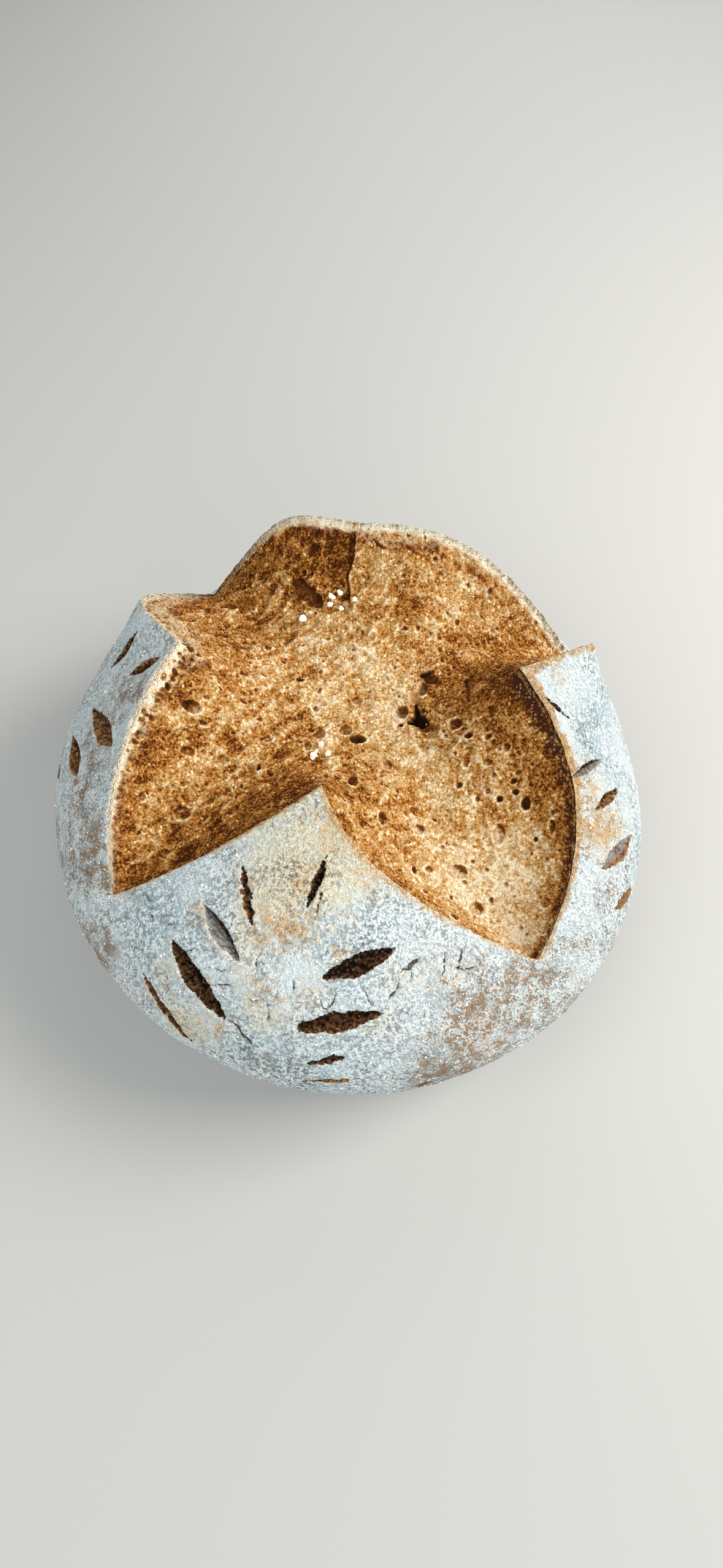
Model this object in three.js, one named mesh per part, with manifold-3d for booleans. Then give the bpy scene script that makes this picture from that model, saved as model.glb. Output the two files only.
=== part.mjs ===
// A round gluten-free sourdough loaf, baked with a deep cross slashed in its top.
// The cross has opened into four flaps of floured crust round a wide field of browned crumb.
// Millimetres, +Z up, origin on the table under the middle of the loaf, front flap towards -Y.
import * as THREE from "three";
import { mergeVertices } from "three/addons/utils/BufferGeometryUtils.js";
import Module from "manifold-3d";

const wasm = await Module();
wasm.setup();

// The dome that the dough would make without its cuts, on a flank that curves in to a flat foot.
// A share is a distance from the axis, as a part of the girth in that direction.
const HALF_WIDTH = 105;
const HALF_LENGTH = 109;
const LENGTH_TURN = THREE.MathUtils.degToRad(52);
const GIRTH_HEIGHT = 37;
const DOME_HEIGHT = 88;
const DOME_FULLNESS = 2.1;
const FOOT_SHARE = 0.74;

// The opening: where the slashes cross, and the flap tips and the slash ends, as [x, y, height]
const CROSSING = [2, 16];
const TIPS = {
  front: [-6, -27, 95],
  right: [56, 15, 95],
  back: [4, 76, 97],
  left: [-54, 26, 95],
};
const ENDS = {
  frontLeft: [-73, -50, 63],
  frontRight: [60, -70, 60],
  backRight: [85, 49, 58],
  backLeft: [-56, 86, 48],
};

// The sides of the flaps, anticlockwise from the front. Each runs from a slash end over a shoulder to
// a tip, and turns the more sharply at its shoulder the larger "bend" is. Its cut face falls by
// "drop" within a few times "reach", and then goes on down by "slope".
const SIDES = [
  { end: "frontLeft", shoulder: [-40, -42, 80], tip: "front", bend: 1, drop: 15, reach: 12, slope: 0.06 },
  { end: "frontRight", shoulder: [15, -51, 79], tip: "front", bend: 1, drop: 13, reach: 10, slope: 0.1 },
  { end: "frontRight", shoulder: [73, -27, 78], tip: "right", bend: 1, drop: 8, reach: 8, slope: 0.12 },
  { end: "backRight", shoulder: [84, 32, 85], tip: "right", bend: 2.5, drop: 15, reach: 8, slope: 0.12 },
  { end: "backRight", shoulder: [46, 68, 92], tip: "back", bend: 1.6, drop: 8, reach: 10, slope: 0.2 },
  { end: "backLeft", shoulder: [-24, 81, 93], tip: "back", bend: 3, drop: 15, reach: 10, slope: 0.2 },
  { end: "backLeft", shoulder: [-73, 55, 82], tip: "left", bend: 2.5, drop: 7, reach: 8, slope: 0.2 },
  { end: "frontLeft", shoulder: [-72, -14, 82], tip: "left", bend: 1, drop: 5, reach: 5, slope: 0.2 },
];
const PULL_POWER = 3;
const NEAREST_PULL = 0.05;

// Crumb that has swelled up in the back left slash, as [x, y, height, radius], free of the rim
const SWELLS = [
  [-48, 70, 9, 15],
  [-60, 62, 3, 10],
];
const SWELL_FROM_RIM = 4;

// How the lift of a peeled edge dies out down the crust
const EAR_REACH = 24;
const EAR_FALL = 1.3;

// Pores of the crumb, as [x, y, width across X, length along Y], and how deep they are for their width
const PORES = [
  [-50.6, 8.8, 6.5, 4.5],
  [-51.7, -4.5, 5, 3.5],
  [-53.4, -23.1, 6, 5],
  [-35.2, 25.9, 4.4, 3],
  [-16.4, 30.1, 3.4, 2.6],
  [-28.8, -8, 2.4, 3.2],
  [3, -15, 3.6, 4.4],
  [14.4, -5.5, 4, 4],
  [12.2, -26.6, 3, 5.5],
  [37.8, 7.3, 4.6, 4],
  [41.8, 2.1, 3, 2.6],
  [47.7, 0.2, 3, 2.6],
  [53.3, -4.3, 3, 3.2],
  [40.7, -6.6, 3, 3],
  [47.5, -7.6, 3.2, 3],
  [55.6, -14.4, 2.8, 2.6],
  [56.3, -17.7, 2.8, 2.6],
  [51.2, -19.1, 3, 2.8],
  [59.3, -21.6, 3.6, 4.6],
  [38.3, -13.2, 3, 3],
  [50.9, -29.6, 4, 7],
  [42.7, -53, 5, 4.4],
  [24.4, -28.4, 4.2, 4.2],
];
const PORE_DEPTH = 0.45;

// Torn pits and a pocket, as [x, y, width, length, depth]
const PITS = [
  [25.6, 11.4, 7.5, 8.5, 6],
  [29.7, 28.6, 8, 6, 5],
  [4.8, 4.6, 7, 3.2, 3.5],
  [42.3, 20.7, 2, 9, 2],
];

// The slit under the back flap's tip, between two points of the plan
const SLIT = { from: [-20.7, 67.9], to: [-8.9, 57.3], width: 3.6 };

// Loose white crumbs stuck in the opening, as [x, y, size]
const WHITE_CRUMBS = [
  [-16.1, 53.7, 2.6],
  [-4.8, 59.7, 2.2],
  [-2.1, 60.3, 1.8],
  [-5.6, 57, 1.9],
  [-1.4, 55, 2],
  [3, 56.4, 1.9],
  [-8.3, 1.1, 2.8],
  [-11, -4.8, 2.4],
  [-5.5, -1.9, 2.3],
  [-9.2, -2.4, 2.2],
];

// The leaf cuts, as the directions of their two ends seen from the heart of the loaf, in degrees
// [around from +X, up, around, up], then the width in millimetres
const HEART = new THREE.Vector3(0, 0, 30);
const LEAF_CUTS = [
  [-122, 43, -113, 35, 2.2],
  [-96, 50, -100, 39, 3],
  [-126, 33, -112, 28, 4.4],
  [-128, 25, -111, 18, 6.2],
  [-129, 15, -118, 10, 2.6],
  [-95, 28.5, -77.5, 32, 5.3],
  [-100, 20, -82, 23, 5.3],
  [-96, 14, -89, 16, 2.8],
  [152, 34, 160, 25, 3.4],
  [160, 43, 163, 33, 5],
  [169, 24, 184, 32.5, 9],
  [175, 18.5, 186, 22.5, 7.4],
  [175, 9, 182, 13, 5.5],
  [6, 43, 4, 35, 2.2],
  [-13.5, 35, -3, 25.5, 3.4],
  [-17, 27, -8, 21, 3.8],
  [-27, 21, -16, 16, 5],
  [-31, 14, -23, 10, 4.2],
  [60, 32, 70, 24, 4],
  [57, 22, 68, 15, 6],
  [80, 30, 84, 20, 5],
  [105, 30, 97, 22, 5],
  [108, 20, 98, 13, 6],
];
const LEAF_CUT_DEPTH = 1.5;
const LEAF_FULLNESS = 0.8;
const LEAF_STEPS = [0, 0.22, 0.5, 0.78, 1];

// Steps of the mesh
const STEPS_PER_SIDE = 12;
const CRUMB_RINGS = 19;
const CRUMB_CROWDING = 1.35;
const CRUST_RINGS = 13;
const FLANK_RINGS = 6;
const COARSEST_SHARE = 0.15;
const COARSE_SHARE = 0.35;
const ROUND_SIDES = 8;
const PORE_RINGS = 5;
const SLOPE_STEP = 1;
const WELD = 1e-4;

const crust = new THREE.MeshStandardMaterial({ color: 0xc9c4ba, roughness: 0.95, metalness: 0 });

function girthShare(x, y) {
  const across = (x * Math.cos(LENGTH_TURN) + y * Math.sin(LENGTH_TURN)) / HALF_WIDTH;
  const along = (y * Math.cos(LENGTH_TURN) - x * Math.sin(LENGTH_TURN)) / HALF_LENGTH;
  return Math.hypot(across, along);
}

function domeHeight(share) {
  const fall = Math.max(0, 1 - Math.min(share, 1) ** DOME_FULLNESS);
  return GIRTH_HEIGHT + (DOME_HEIGHT - GIRTH_HEIGHT) * fall ** (1 / DOME_FULLNESS);
}

// The point at a given share of the girth, on the level line from the crossing through a rim point
function pointAtShare(rimPoint, share) {
  const dx = rimPoint.x - CROSSING[0];
  const dy = rimPoint.y - CROSSING[1];
  const start = girthShare(...CROSSING);
  const a = girthShare(dx, dy) ** 2;
  const b = girthShare(CROSSING[0] + dx, CROSSING[1] + dy) ** 2 - a - start ** 2;
  const c = start ** 2 - share ** 2;
  const t = (-b + Math.sqrt(b * b - 4 * a * c)) / (2 * a);
  return [CROSSING[0] + dx * t, CROSSING[1] + dy * t];
}

// A flap's side: a curve that leaves the slash end, is at the shoulder halfway, and ends at the tip
class FlapSide extends THREE.Curve {
  constructor({ end, shoulder, tip, bend }) {
    super();
    this.bend = bend;
    this.from = new THREE.Vector3(...ENDS[end]);
    this.to = new THREE.Vector3(...TIPS[tip]);
    this.corner = new THREE.Vector3(...shoulder)
      .multiplyScalar(2 + 2 * bend)
      .sub(this.from)
      .sub(this.to)
      .divideScalar(2 * bend);
  }

  getPoint(t, target = new THREE.Vector3()) {
    const weights = [(1 - t) ** 2, 2 * this.bend * t * (1 - t), t ** 2];
    return target
      .set(0, 0, 0)
      .addScaledVector(this.from, weights[0])
      .addScaledVector(this.corner, weights[1])
      .addScaledVector(this.to, weights[2])
      .divideScalar(weights[0] + weights[1] + weights[2]);
  }
}

// The stations of the rim, anticlockwise, each with the side it is on and the length it stands for.
// Every second side is drawn from its tip back to its end.
function makeRim() {
  const stations = SIDES.flatMap((side, i) => {
    const line = new FlapSide(side).getSpacedPoints(STEPS_PER_SIDE);
    const ordered = i % 2 ? line.toReversed() : line;
    return ordered.slice(0, -1).map((point) => ({ point, side }));
  });
  stations.forEach((station, i) => {
    const before = stations.at(i - 1).point;
    const after = stations[(i + 1) % stations.length].point;
    const { point } = station;
    const lengths = [before, after].map((p) => Math.hypot(p.x - point.x, p.y - point.y));
    station.length = (lengths[0] + lengths[1]) / 2;
    station.dome = new THREE.Vector3(point.x, point.y, domeHeight(girthShare(point.x, point.y)));
  });
  return stations;
}

const rim = makeRim();

// The mean of what every bit of the rim asks for, with the nearest bits pulling hardest
function pulledByRim(distanceTo, asked) {
  let sum = 0;
  let total = 0;
  for (const station of rim) {
    const distance = Math.max(distanceTo(station), NEAREST_PULL);
    const pull = station.length / distance ** PULL_POWER;
    sum += pull * asked(station, distance);
    total += pull;
  }
  return sum / total;
}

function swellHeight(x, y) {
  const fromRim = Math.min(...rim.map(({ point }) => Math.hypot(x - point.x, y - point.y)));
  const free = 1 - Math.exp(-((fromRim / SWELL_FROM_RIM) ** 2));
  const swells = SWELLS.map(([sx, sy, height, radius]) => {
    return height * Math.exp(-((x - sx) ** 2 + (y - sy) ** 2) / radius ** 2);
  });
  return free * swells.reduce((sum, height) => sum + height, 0);
}

// The opened crumb, which falls away from the rim all round
function crumbHeight(x, y) {
  const level = pulledByRim(
    ({ point }) => Math.hypot(x - point.x, y - point.y),
    ({ point, side }, d) => point.z - side.drop * (1 - Math.exp(-d / side.reach)) - side.slope * d,
  );
  return level + swellHeight(x, y);
}

// The crust: the dome, lifted or sunk to meet the rim
function crustHeight(x, y) {
  const place = new THREE.Vector3(x, y, domeHeight(girthShare(x, y)));
  const lift = pulledByRim(
    ({ dome }) => dome.distanceTo(place),
    ({ point, dome }, d) => (point.z - dome.z) * Math.exp(-((d / EAR_REACH) ** EAR_FALL)),
  );
  return place.z + lift;
}

// Rings of crumb from the crossing out to just inside the rim, closer together towards the rim
function crumbRings() {
  const rings = [];
  for (let i = 1; i < CRUMB_RINGS; i++) {
    const share = 1 - (1 - i / CRUMB_RINGS) ** CRUMB_CROWDING;
    const stride = share < COARSEST_SHARE ? 4 : share < COARSE_SHARE ? 2 : 1;
    const stations = rim.filter((_, k) => k % stride === 0);
    rings.push(
      stations.map(({ point }) => {
        const x = CROSSING[0] + (point.x - CROSSING[0]) * share;
        const y = CROSSING[1] + (point.y - CROSSING[1]) * share;
        return [x, y, crumbHeight(x, y)];
      }),
    );
  }
  return rings;
}

// Rings of crust from the rim down to the girth
function crustRings() {
  const rings = [rim.map(({ point }) => [point.x, point.y, point.z])];
  for (let i = 1; i <= CRUST_RINGS; i++) {
    rings.push(
      rim.map(({ point }) => {
        const first = Math.asin(girthShare(point.x, point.y));
        const share = Math.sin(first + (Math.PI / 2 - first) * (i / CRUST_RINGS));
        const [x, y] = pointAtShare(point, share);
        return [x, y, crustHeight(x, y)];
      }),
    );
  }
  return rings;
}

// Rings of the flank, from just under the last ring of crust to the foot
function flankRings(girthRing) {
  const rings = [];
  for (let i = 1; i <= FLANK_RINGS; i++) {
    const turn = ((i / FLANK_RINGS) * Math.PI) / 2;
    const share = FOOT_SHARE + (1 - FOOT_SHARE) * Math.cos(turn);
    const rise = i === FLANK_RINGS ? 0 : 1 - Math.sin(turn);
    rings.push(rim.map(({ point }, k) => [...pointAtShare(point, share), girthRing[k][2] * rise]));
  }
  return rings;
}

// Triangles between two closed rings, the second as fine as the first or a whole number of times finer
function band(inner, outer) {
  const faces = [];
  const step = outer.length / inner.length;
  inner.forEach((a, i) => {
    const b = inner[(i + 1) % inner.length];
    const fan = Array.from({ length: step + 1 }, (_, k) => outer[(i * step + k) % outer.length]);
    const half = Math.ceil(step / 2);
    for (let k = 0; k < step; k++) faces.push([k < half ? a : b, fan[k], fan[k + 1]]);
    faces.push([a, fan[half], b]);
  });
  return faces;
}

function solidFrom(geometry) {
  const plain = new THREE.BufferGeometry().setAttribute("position", geometry.getAttribute("position"));
  if (geometry.index) plain.setIndex(geometry.index);
  const merged = mergeVertices(plain, WELD);
  return new wasm.Manifold(
    new wasm.Mesh({
      numProp: 3,
      vertProperties: merged.attributes.position.array,
      triVerts: new Uint32Array(merged.index.array),
    }),
  );
}

// The loaf before its cuts and pores, as one closed skin
function loafGeometry(crusts) {
  const rings = [...crumbRings(), ...crusts, ...flankRings(crusts.at(-1))];
  const top = [...CROSSING, crumbHeight(...CROSSING)];
  const foot = [...CROSSING, 0];
  const first = rings[0];
  const last = rings.at(-1);
  const faces = first.map((p, i) => [top, p, first[(i + 1) % first.length]]);
  for (let i = 1; i < rings.length; i++) faces.push(...band(rings[i - 1], rings[i]));
  faces.push(...last.map((p, i) => [foot, last[(i + 1) % last.length], p]));
  const positions = new Float32Array(faces.flat(2));
  return new THREE.BufferGeometry().setAttribute("position", new THREE.BufferAttribute(positions, 3));
}

// The point of the crust seen from the heart in a given direction
function crustPoint(points, around, up) {
  const [turn, rise] = [THREE.MathUtils.degToRad(around), THREE.MathUtils.degToRad(up)];
  const level = Math.cos(rise);
  const direction = new THREE.Vector3(level * Math.cos(turn), level * Math.sin(turn), Math.sin(rise));
  let best = null;
  let nearest = Infinity;
  for (const p of points) {
    const away = p.clone().sub(HEART).angleTo(direction);
    if (away < nearest) [best, nearest] = [p, away];
  }
  return direction.multiplyScalar(best.distanceTo(HEART)).add(HEART);
}

// A leaf, pointed at both ends, that lies along a line with its middle in the skin
function leafCutter(from, to, middle, out, width, depth) {
  const along = to.clone().sub(from);
  const length = along.length();
  along.normalize();
  const profile = LEAF_STEPS.map((t) => {
    const half = t % 1 ? (width / 2) * Math.sin(Math.PI * t) ** LEAF_FULLNESS : 0;
    return new THREE.Vector2(half, (t - 0.5) * length);
  });
  const upright = out.clone().addScaledVector(along, -out.dot(along)).normalize();
  const side = new THREE.Vector3().crossVectors(along, upright);
  const place = new THREE.Matrix4().makeBasis(side, along, upright.multiplyScalar(depth));
  place.setPosition(middle);
  return solidFrom(new THREE.LatheGeometry(profile, ROUND_SIDES).applyMatrix4(place));
}

function crustLeaf(points, [around0, up0, around1, up1, width]) {
  const from = crustPoint(points, around0, up0);
  const to = crustPoint(points, around1, up1);
  const middle = crustPoint(points, (around0 + around1) / 2, (up0 + up1) / 2);
  return leafCutter(from, to, middle, middle.clone().sub(HEART), width, LEAF_CUT_DEPTH);
}

function onCrumb([x, y]) {
  return new THREE.Vector3(x, y, crumbHeight(x, y));
}

function crumbNormal([x, y]) {
  const east = onCrumb([x + SLOPE_STEP, y]).sub(onCrumb([x - SLOPE_STEP, y]));
  const north = onCrumb([x, y + SLOPE_STEP]).sub(onCrumb([x, y - SLOPE_STEP]));
  return east.cross(north).normalize();
}

// A round piece with its middle in the crumb's skin, upright on it
function roundOnCrumb([x, y], geometry, width, length, depth) {
  const upright = crumbNormal([x, y]);
  const turn = new THREE.Quaternion().setFromUnitVectors(new THREE.Vector3(0, 0, 1), upright);
  const size = new THREE.Vector3(width / 2, length / 2, depth);
  const place = new THREE.Matrix4().compose(onCrumb([x, y]), turn, size);
  return solidFrom(geometry.clone().applyMatrix4(place));
}

function slitLeaf() {
  const { from, to, width } = SLIT;
  const middle = [(from[0] + to[0]) / 2, (from[1] + to[1]) / 2];
  return leafCutter(onCrumb(from), onCrumb(to), onCrumb(middle), crumbNormal(middle), width, 1);
}

function makeLoaf() {
  const hollow = new THREE.SphereGeometry(1, ROUND_SIDES, PORE_RINGS);
  const lump = new THREE.IcosahedronGeometry(1, 0);
  const crusts = crustRings();
  const points = crusts.flat().map((p) => new THREE.Vector3(...p));
  const cutters = [
    ...LEAF_CUTS.map((cut) => crustLeaf(points, cut)),
    slitLeaf(),
    ...PORES.map(([x, y, width, length]) => {
      return roundOnCrumb([x, y], hollow, width, length, PORE_DEPTH * width);
    }),
    ...PITS.map(([x, y, width, length, depth]) => roundOnCrumb([x, y], hollow, width, length, depth)),
  ];
  let solid = solidFrom(loafGeometry(crusts));
  for (const cutter of cutters) solid = solid.subtract(cutter);
  for (const [x, y, size] of WHITE_CRUMBS) {
    solid = solid.add(roundOnCrumb([x, y], lump, size, size, size / 2));
  }
  const made = solid.getMesh();
  const result = new THREE.BufferGeometry();
  result.setAttribute("position", new THREE.BufferAttribute(new Float32Array(made.vertProperties), 3));
  result.setIndex(new THREE.BufferAttribute(new Uint32Array(made.triVerts), 1));
  const loaf = new THREE.Mesh(result, crust);
  loaf.name = "loaf";
  return loaf;
}

const bread = new THREE.Group();
bread.add(makeLoaf());

export default bread;
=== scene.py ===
# A round gluten-free sourdough loaf, floured and baked with a deep cross slashed in its top.
# The cross has opened into four flaps of crust round a wide field of browned crumb.
# Sizes are millimetres in the loaf's own frame, +Z up, and every mesh is made in metres.
import math

import bmesh
import bpy
import numpy as np
from mathutils import Euler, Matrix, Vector, noise
from mathutils.geometry import delaunay_2d_cdt
from mathutils.kdtree import KDTree


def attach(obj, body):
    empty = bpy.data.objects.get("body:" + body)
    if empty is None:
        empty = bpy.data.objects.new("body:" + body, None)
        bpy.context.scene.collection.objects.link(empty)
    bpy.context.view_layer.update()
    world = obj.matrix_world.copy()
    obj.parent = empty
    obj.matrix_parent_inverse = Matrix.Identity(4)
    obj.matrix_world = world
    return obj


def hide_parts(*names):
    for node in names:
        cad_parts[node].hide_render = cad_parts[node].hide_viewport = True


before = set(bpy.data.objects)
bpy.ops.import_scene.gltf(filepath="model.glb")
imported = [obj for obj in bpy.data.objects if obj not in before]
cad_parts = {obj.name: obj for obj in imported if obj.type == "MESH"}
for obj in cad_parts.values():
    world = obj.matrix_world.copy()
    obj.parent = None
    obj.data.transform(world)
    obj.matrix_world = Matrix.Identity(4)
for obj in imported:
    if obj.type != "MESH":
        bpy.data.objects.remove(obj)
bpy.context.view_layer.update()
MM = 0.001

# Camera
# It stands in front of the loaf and above it, and looks down on the opened cross.
PHOTO_HEIGHT = 2556
FOCAL_LENGTH = 1220
SENSOR = 36
CAMERA_AIM = Vector((5.7, -1.3, 45)) * MM
CAMERA_AWAY = 276 * MM
CAMERA_RISE = math.radians(63)
CLIP_START = 10 * MM


def add_object(name, data):
    thing = bpy.data.objects.new(name, data)
    bpy.context.scene.collection.objects.link(thing)
    return thing


lens = bpy.data.cameras.new("camera")
lens.sensor_width = SENSOR
lens.lens = SENSOR * FOCAL_LENGTH / PHOTO_HEIGHT
lens.clip_start = CLIP_START
camera = add_object("camera", lens)
camera.location = CAMERA_AIM + CAMERA_AWAY * Vector((0, -math.cos(CAMERA_RISE), math.sin(CAMERA_RISE)))
camera.rotation_euler = (math.pi / 2 - CAMERA_RISE, 0, 0)
bpy.context.scene.camera = camera

# The form of the loaf
# A dome of dough on a flank that curves in to a flat foot. The slashes have opened, and their edges,
# the rim, run from four slash ends over shoulders up to four flap tips.
HALF_WIDTH = 105
HALF_LENGTH = 109
LENGTH_TURN = math.radians(52)
GIRTH_HEIGHT = 37
DOME_HEIGHT = 88
DOME_FULLNESS = 2.1
FOOT_SHARE = 0.74
TIPS = {
    "front": (-6, -27, 95),
    "right": (56, 15, 95),
    "back": (4, 76, 97),
    "left": (-54, 26, 95),
}
ENDS = {
    "front left": (-73, -50, 63),
    "front right": (60, -70, 60),
    "back right": (85, 49, 58),
    "back left": (-56, 86, 48),
}
# Each side runs from a slash end over a shoulder to a tip. Its cut face falls by "drop" within a few
# times "reach", and goes on down by "slope". The looks go from the end to the tip. On the crust, "lip"
# is the width of the peeled edge and "tan" how brown it is. On the crumb below it, "edge" is how pale
# the cut edge is, the toast band a browned band that also holds painted shade on walls turned from the
# light, the char band a dark speckled one that is partly painted shade, "dust" a floured one, each as
# (amount, width), and "line" a row of dark specks as (amount, distance from the rim).
SIDES = [
    dict(end="front left", tip="front", shoulder=(-40, -42, 80), bend=1, drop=15, reach=12, slope=0.06,
         lip=(0.7, 1.2), tan=(0.5, 0.7), edge=(0, 0.1), toast_and_shade=((0.85, 10), (1.0, 21)),
         char_and_shade=((0.1, 1.5), (0, 1)), dust=((0, 1), (0, 1)), line=((0, 1), (0, 1))),
    dict(end="front right", tip="front", shoulder=(15, -51, 79), bend=1, drop=13, reach=10, slope=0.1,
         lip=(1.2, 2.2), tan=(0.35, 0.6), edge=(0, 0), toast_and_shade=((0.25, 7), (0.25, 6)),
         char_and_shade=((0, 1), (0, 1)), dust=((0, 1), (0, 1)), line=((0.2, 1), (0, 1))),
    dict(end="front right", tip="right", shoulder=(73, -27, 78), bend=1, drop=8, reach=8, slope=0.12,
         lip=(1.4, 5.0), tan=(0.7, 1.0), edge=(0, 0), toast_and_shade=((0.3, 6), (0.6, 13)),
         char_and_shade=((0.8, 2.2), (1.1, 5.0)), dust=((0, 1), (0, 1)), line=((0.5, 1), (0.7, 1.4))),
    dict(end="back right", tip="right", shoulder=(84, 32, 85), bend=2.5, drop=15, reach=8, slope=0.12,
         lip=(1.5, 3.2), tan=(0.6, 0.9), edge=(0.1, 0), toast_and_shade=((0.6, 8), (0.95, 17)),
         char_and_shade=((0.3, 2), (0.4, 4)), dust=((0, 1), (0, 1)), line=((0.2, 1), (0.3, 1))),
    dict(end="back right", tip="back", shoulder=(46, 68, 92), bend=1.6, drop=8, reach=10, slope=0.2,
         lip=(1.2, 1.5), tan=(0.0, 0.6), edge=(1.0, 0.7), toast_and_shade=((0.15, 5), (0.15, 5)),
         char_and_shade=((0, 1), (0.1, 2)), dust=((0.1, 2), (1.3, 4.6)), line=((0, 4), (1.1, 4.8))),
    dict(end="back left", tip="back", shoulder=(-24, 81, 93), bend=3, drop=15, reach=10, slope=0.2,
         lip=(0.4, 0.8), tan=(0.8, 0.1), edge=(0.1, 0.9), toast_and_shade=((0.4, 7), (0.65, 11)),
         char_and_shade=((0, 1), (0.15, 2)), dust=((0, 1), (0, 1)), line=((0, 1), (0.5, 2))),
    dict(end="back left", tip="left", shoulder=(-73, 55, 82), bend=2.5, drop=7, reach=8, slope=0.2,
         lip=(0.3, 0.4), tan=(0.0, 0.0), edge=(0.3, 0.9), toast_and_shade=((0.1, 5), (0.2, 5)),
         char_and_shade=((0.1, 2), (0.2, 3)), dust=((1.0, 8), (1.7, 10)), line=((0.1, 2), (0.4, 3))),
    dict(end="front left", tip="left", shoulder=(-72, -14, 82), bend=1, drop=5, reach=5, slope=0.2,
         lip=(0.3, 0.8), tan=(0.3, 0.0), edge=(0.4, 1.3), toast_and_shade=((0.35, 6), (0.25, 9)),
         char_and_shade=((0.2, 1.4), (0.45, 3.5)), dust=((0.4, 2.0), (1.2, 5.5)), line=((0.2, 1.4), (1.2, 3.2))),
]
RIM_STEPS = 88
CURVE_STEPS = 12 * RIM_STEPS
LOOKS = ("lip", "tan", "edge", "toast_and_shade", "toast_and_shade_width", "char_and_shade", "char_and_shade_width")
LOOKS += ("dust", "dust_width", "line", "line_at")
LOOKS_BLEND = 4
# How the rim's stations pull on the heights round them
PULL_POWER = 3
NEAREST_PULL = 0.05
CHUNK = 4000
# Low swells of the crumb as (x, y, height, radius)
SWELLS = [(-48, 70, 9, 15), (-60, 62, 3, 10)]
SWELL_FROM_RIM = 4
EAR_REACH = 24
EAR_FALL = 1.3
JITTER = 0.15
BUMP_REACH = 0.75


def girth_share(places):
    """The distance from the axis, as a part of the girth in that direction"""
    x, y = places[:, 0], places[:, 1]
    across = (x * math.cos(LENGTH_TURN) + y * math.sin(LENGTH_TURN)) / HALF_WIDTH
    along = (y * math.cos(LENGTH_TURN) - x * math.sin(LENGTH_TURN)) / HALF_LENGTH
    return np.hypot(across, along)


def dome_height(share):
    fall = np.maximum(0, 1 - np.minimum(share, 1) ** DOME_FULLNESS)
    return GIRTH_HEIGHT + (DOME_HEIGHT - GIRTH_HEIGHT) * fall ** (1 / DOME_FULLNESS)


def run_along(line):
    """The length along a line up to each of its points"""
    return np.concatenate([[0], np.cumsum(np.linalg.norm(np.diff(line, axis=0), axis=1))])


def even_steps(line, steps):
    """Points at even spacing along a line, without its last point"""
    run = run_along(line)
    even = np.linspace(0, run[-1], steps + 1)[:-1]
    return np.stack([np.interp(even, run, line[:, i]) for i in range(3)], axis=1)


def flap_side(side):
    """The curve of one side, which is at its shoulder halfway and turns more sharply with more bend"""
    start, finish = np.array([ENDS[side["end"]], TIPS[side["tip"]]], float)
    bend = side["bend"]
    corner = (np.array(side["shoulder"]) * (2 + 2 * bend) - start - finish) / (2 * bend)
    t = np.linspace(0, 1, CURVE_STEPS)[:, None]
    weights = [(1 - t) ** 2, 2 * bend * t * (1 - t), t**2]
    return (weights[0] * start + weights[1] * corner + weights[2] * finish) / sum(weights)


def rim_side(i, steps):
    """Points at even spacing along one side, anticlockwise round the rim"""
    line = flap_side(SIDES[i])
    return even_steps(line[::-1] if i % 2 else line, steps)


def side_looks(side, t):
    """The form and looks of a side at a share t of the way from its end to its tip"""
    pairs = [side["lip"], side["tan"], side["edge"]]
    for band in ("toast_and_shade", "char_and_shade", "dust", "line"):
        (amount0, width0), (amount1, width1) = side[band]
        pairs += [(amount0, amount1), (width0, width1)]
    fixed = [side["drop"], side["reach"], side["slope"]]
    return [np.full(len(t), value, float) for value in fixed] + [a + (b - a) * t for a, b in pairs]


def make_rim():
    """The rim's stations, anticlockwise, and the looks at each"""
    lines = [rim_side(i, RIM_STEPS) for i in range(len(SIDES))]
    t = np.linspace(0, 1, RIM_STEPS, endpoint=False)
    looks = [np.stack(side_looks(side, 1 - t if i % 2 else t), axis=1) for i, side in enumerate(SIDES)]
    return np.concatenate(lines), np.concatenate(looks)


def around_mean(values, stations):
    """Values that run round the rim, blended over a few stations each way"""
    reach = np.arange(-3 * stations, 3 * stations + 1)
    weights = np.exp(-((reach / stations) ** 2))
    rolled = sum(w * np.roll(values, k, axis=0) for k, w in zip(reach, weights))
    return rolled / weights.sum()


rim, rim_form = make_rim()
rim_next = np.linalg.norm((np.roll(rim, -1, axis=0) - rim)[:, :2], axis=1)
rim_lengths = (rim_next + np.roll(rim_next, 1)) / 2
rim_dome = np.column_stack([rim[:, :2], dome_height(girth_share(rim))])
rim_looks = dict(zip(LOOKS, around_mean(rim_form[:, 3:], LOOKS_BLEND).T))
DROP, REACH, SLOPE = rim_form[:, :3].T


def pulled_by_rim(places, stations, asked):
    """The mean of what the rim's stations ask for, with the nearest pulling hardest"""
    means = []
    for part in np.array_split(places, len(places) // CHUNK + 1):
        away = np.sqrt(sum((part[:, None, i] - stations[None, :, i]) ** 2 for i in range(part.shape[1])))
        away = np.maximum(away, NEAREST_PULL)
        pull = rim_lengths / away**PULL_POWER
        means.append((pull * asked(away)).sum(axis=1) / pull.sum(axis=1))
    return np.concatenate(means)


def in_plan(points):
    """The points as seen from above, at height 0"""
    return np.column_stack([points[:, :2], np.zeros(len(points))])


def tree_of(points):
    """A tree that finds the nearest of some points"""
    tree = KDTree(len(points))
    for i, point in enumerate(points.tolist()):
        tree.insert(point, i)
    tree.balance()
    return tree


def nearest(tree, points):
    """Which point of a tree lies nearest to each given point, and how far off it is"""
    found = [tree.find(point) for point in points.tolist()]
    return np.array([f[1] for f in found]), np.array([f[2] for f in found])


rim_tree = tree_of(in_plan(rim))


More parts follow.
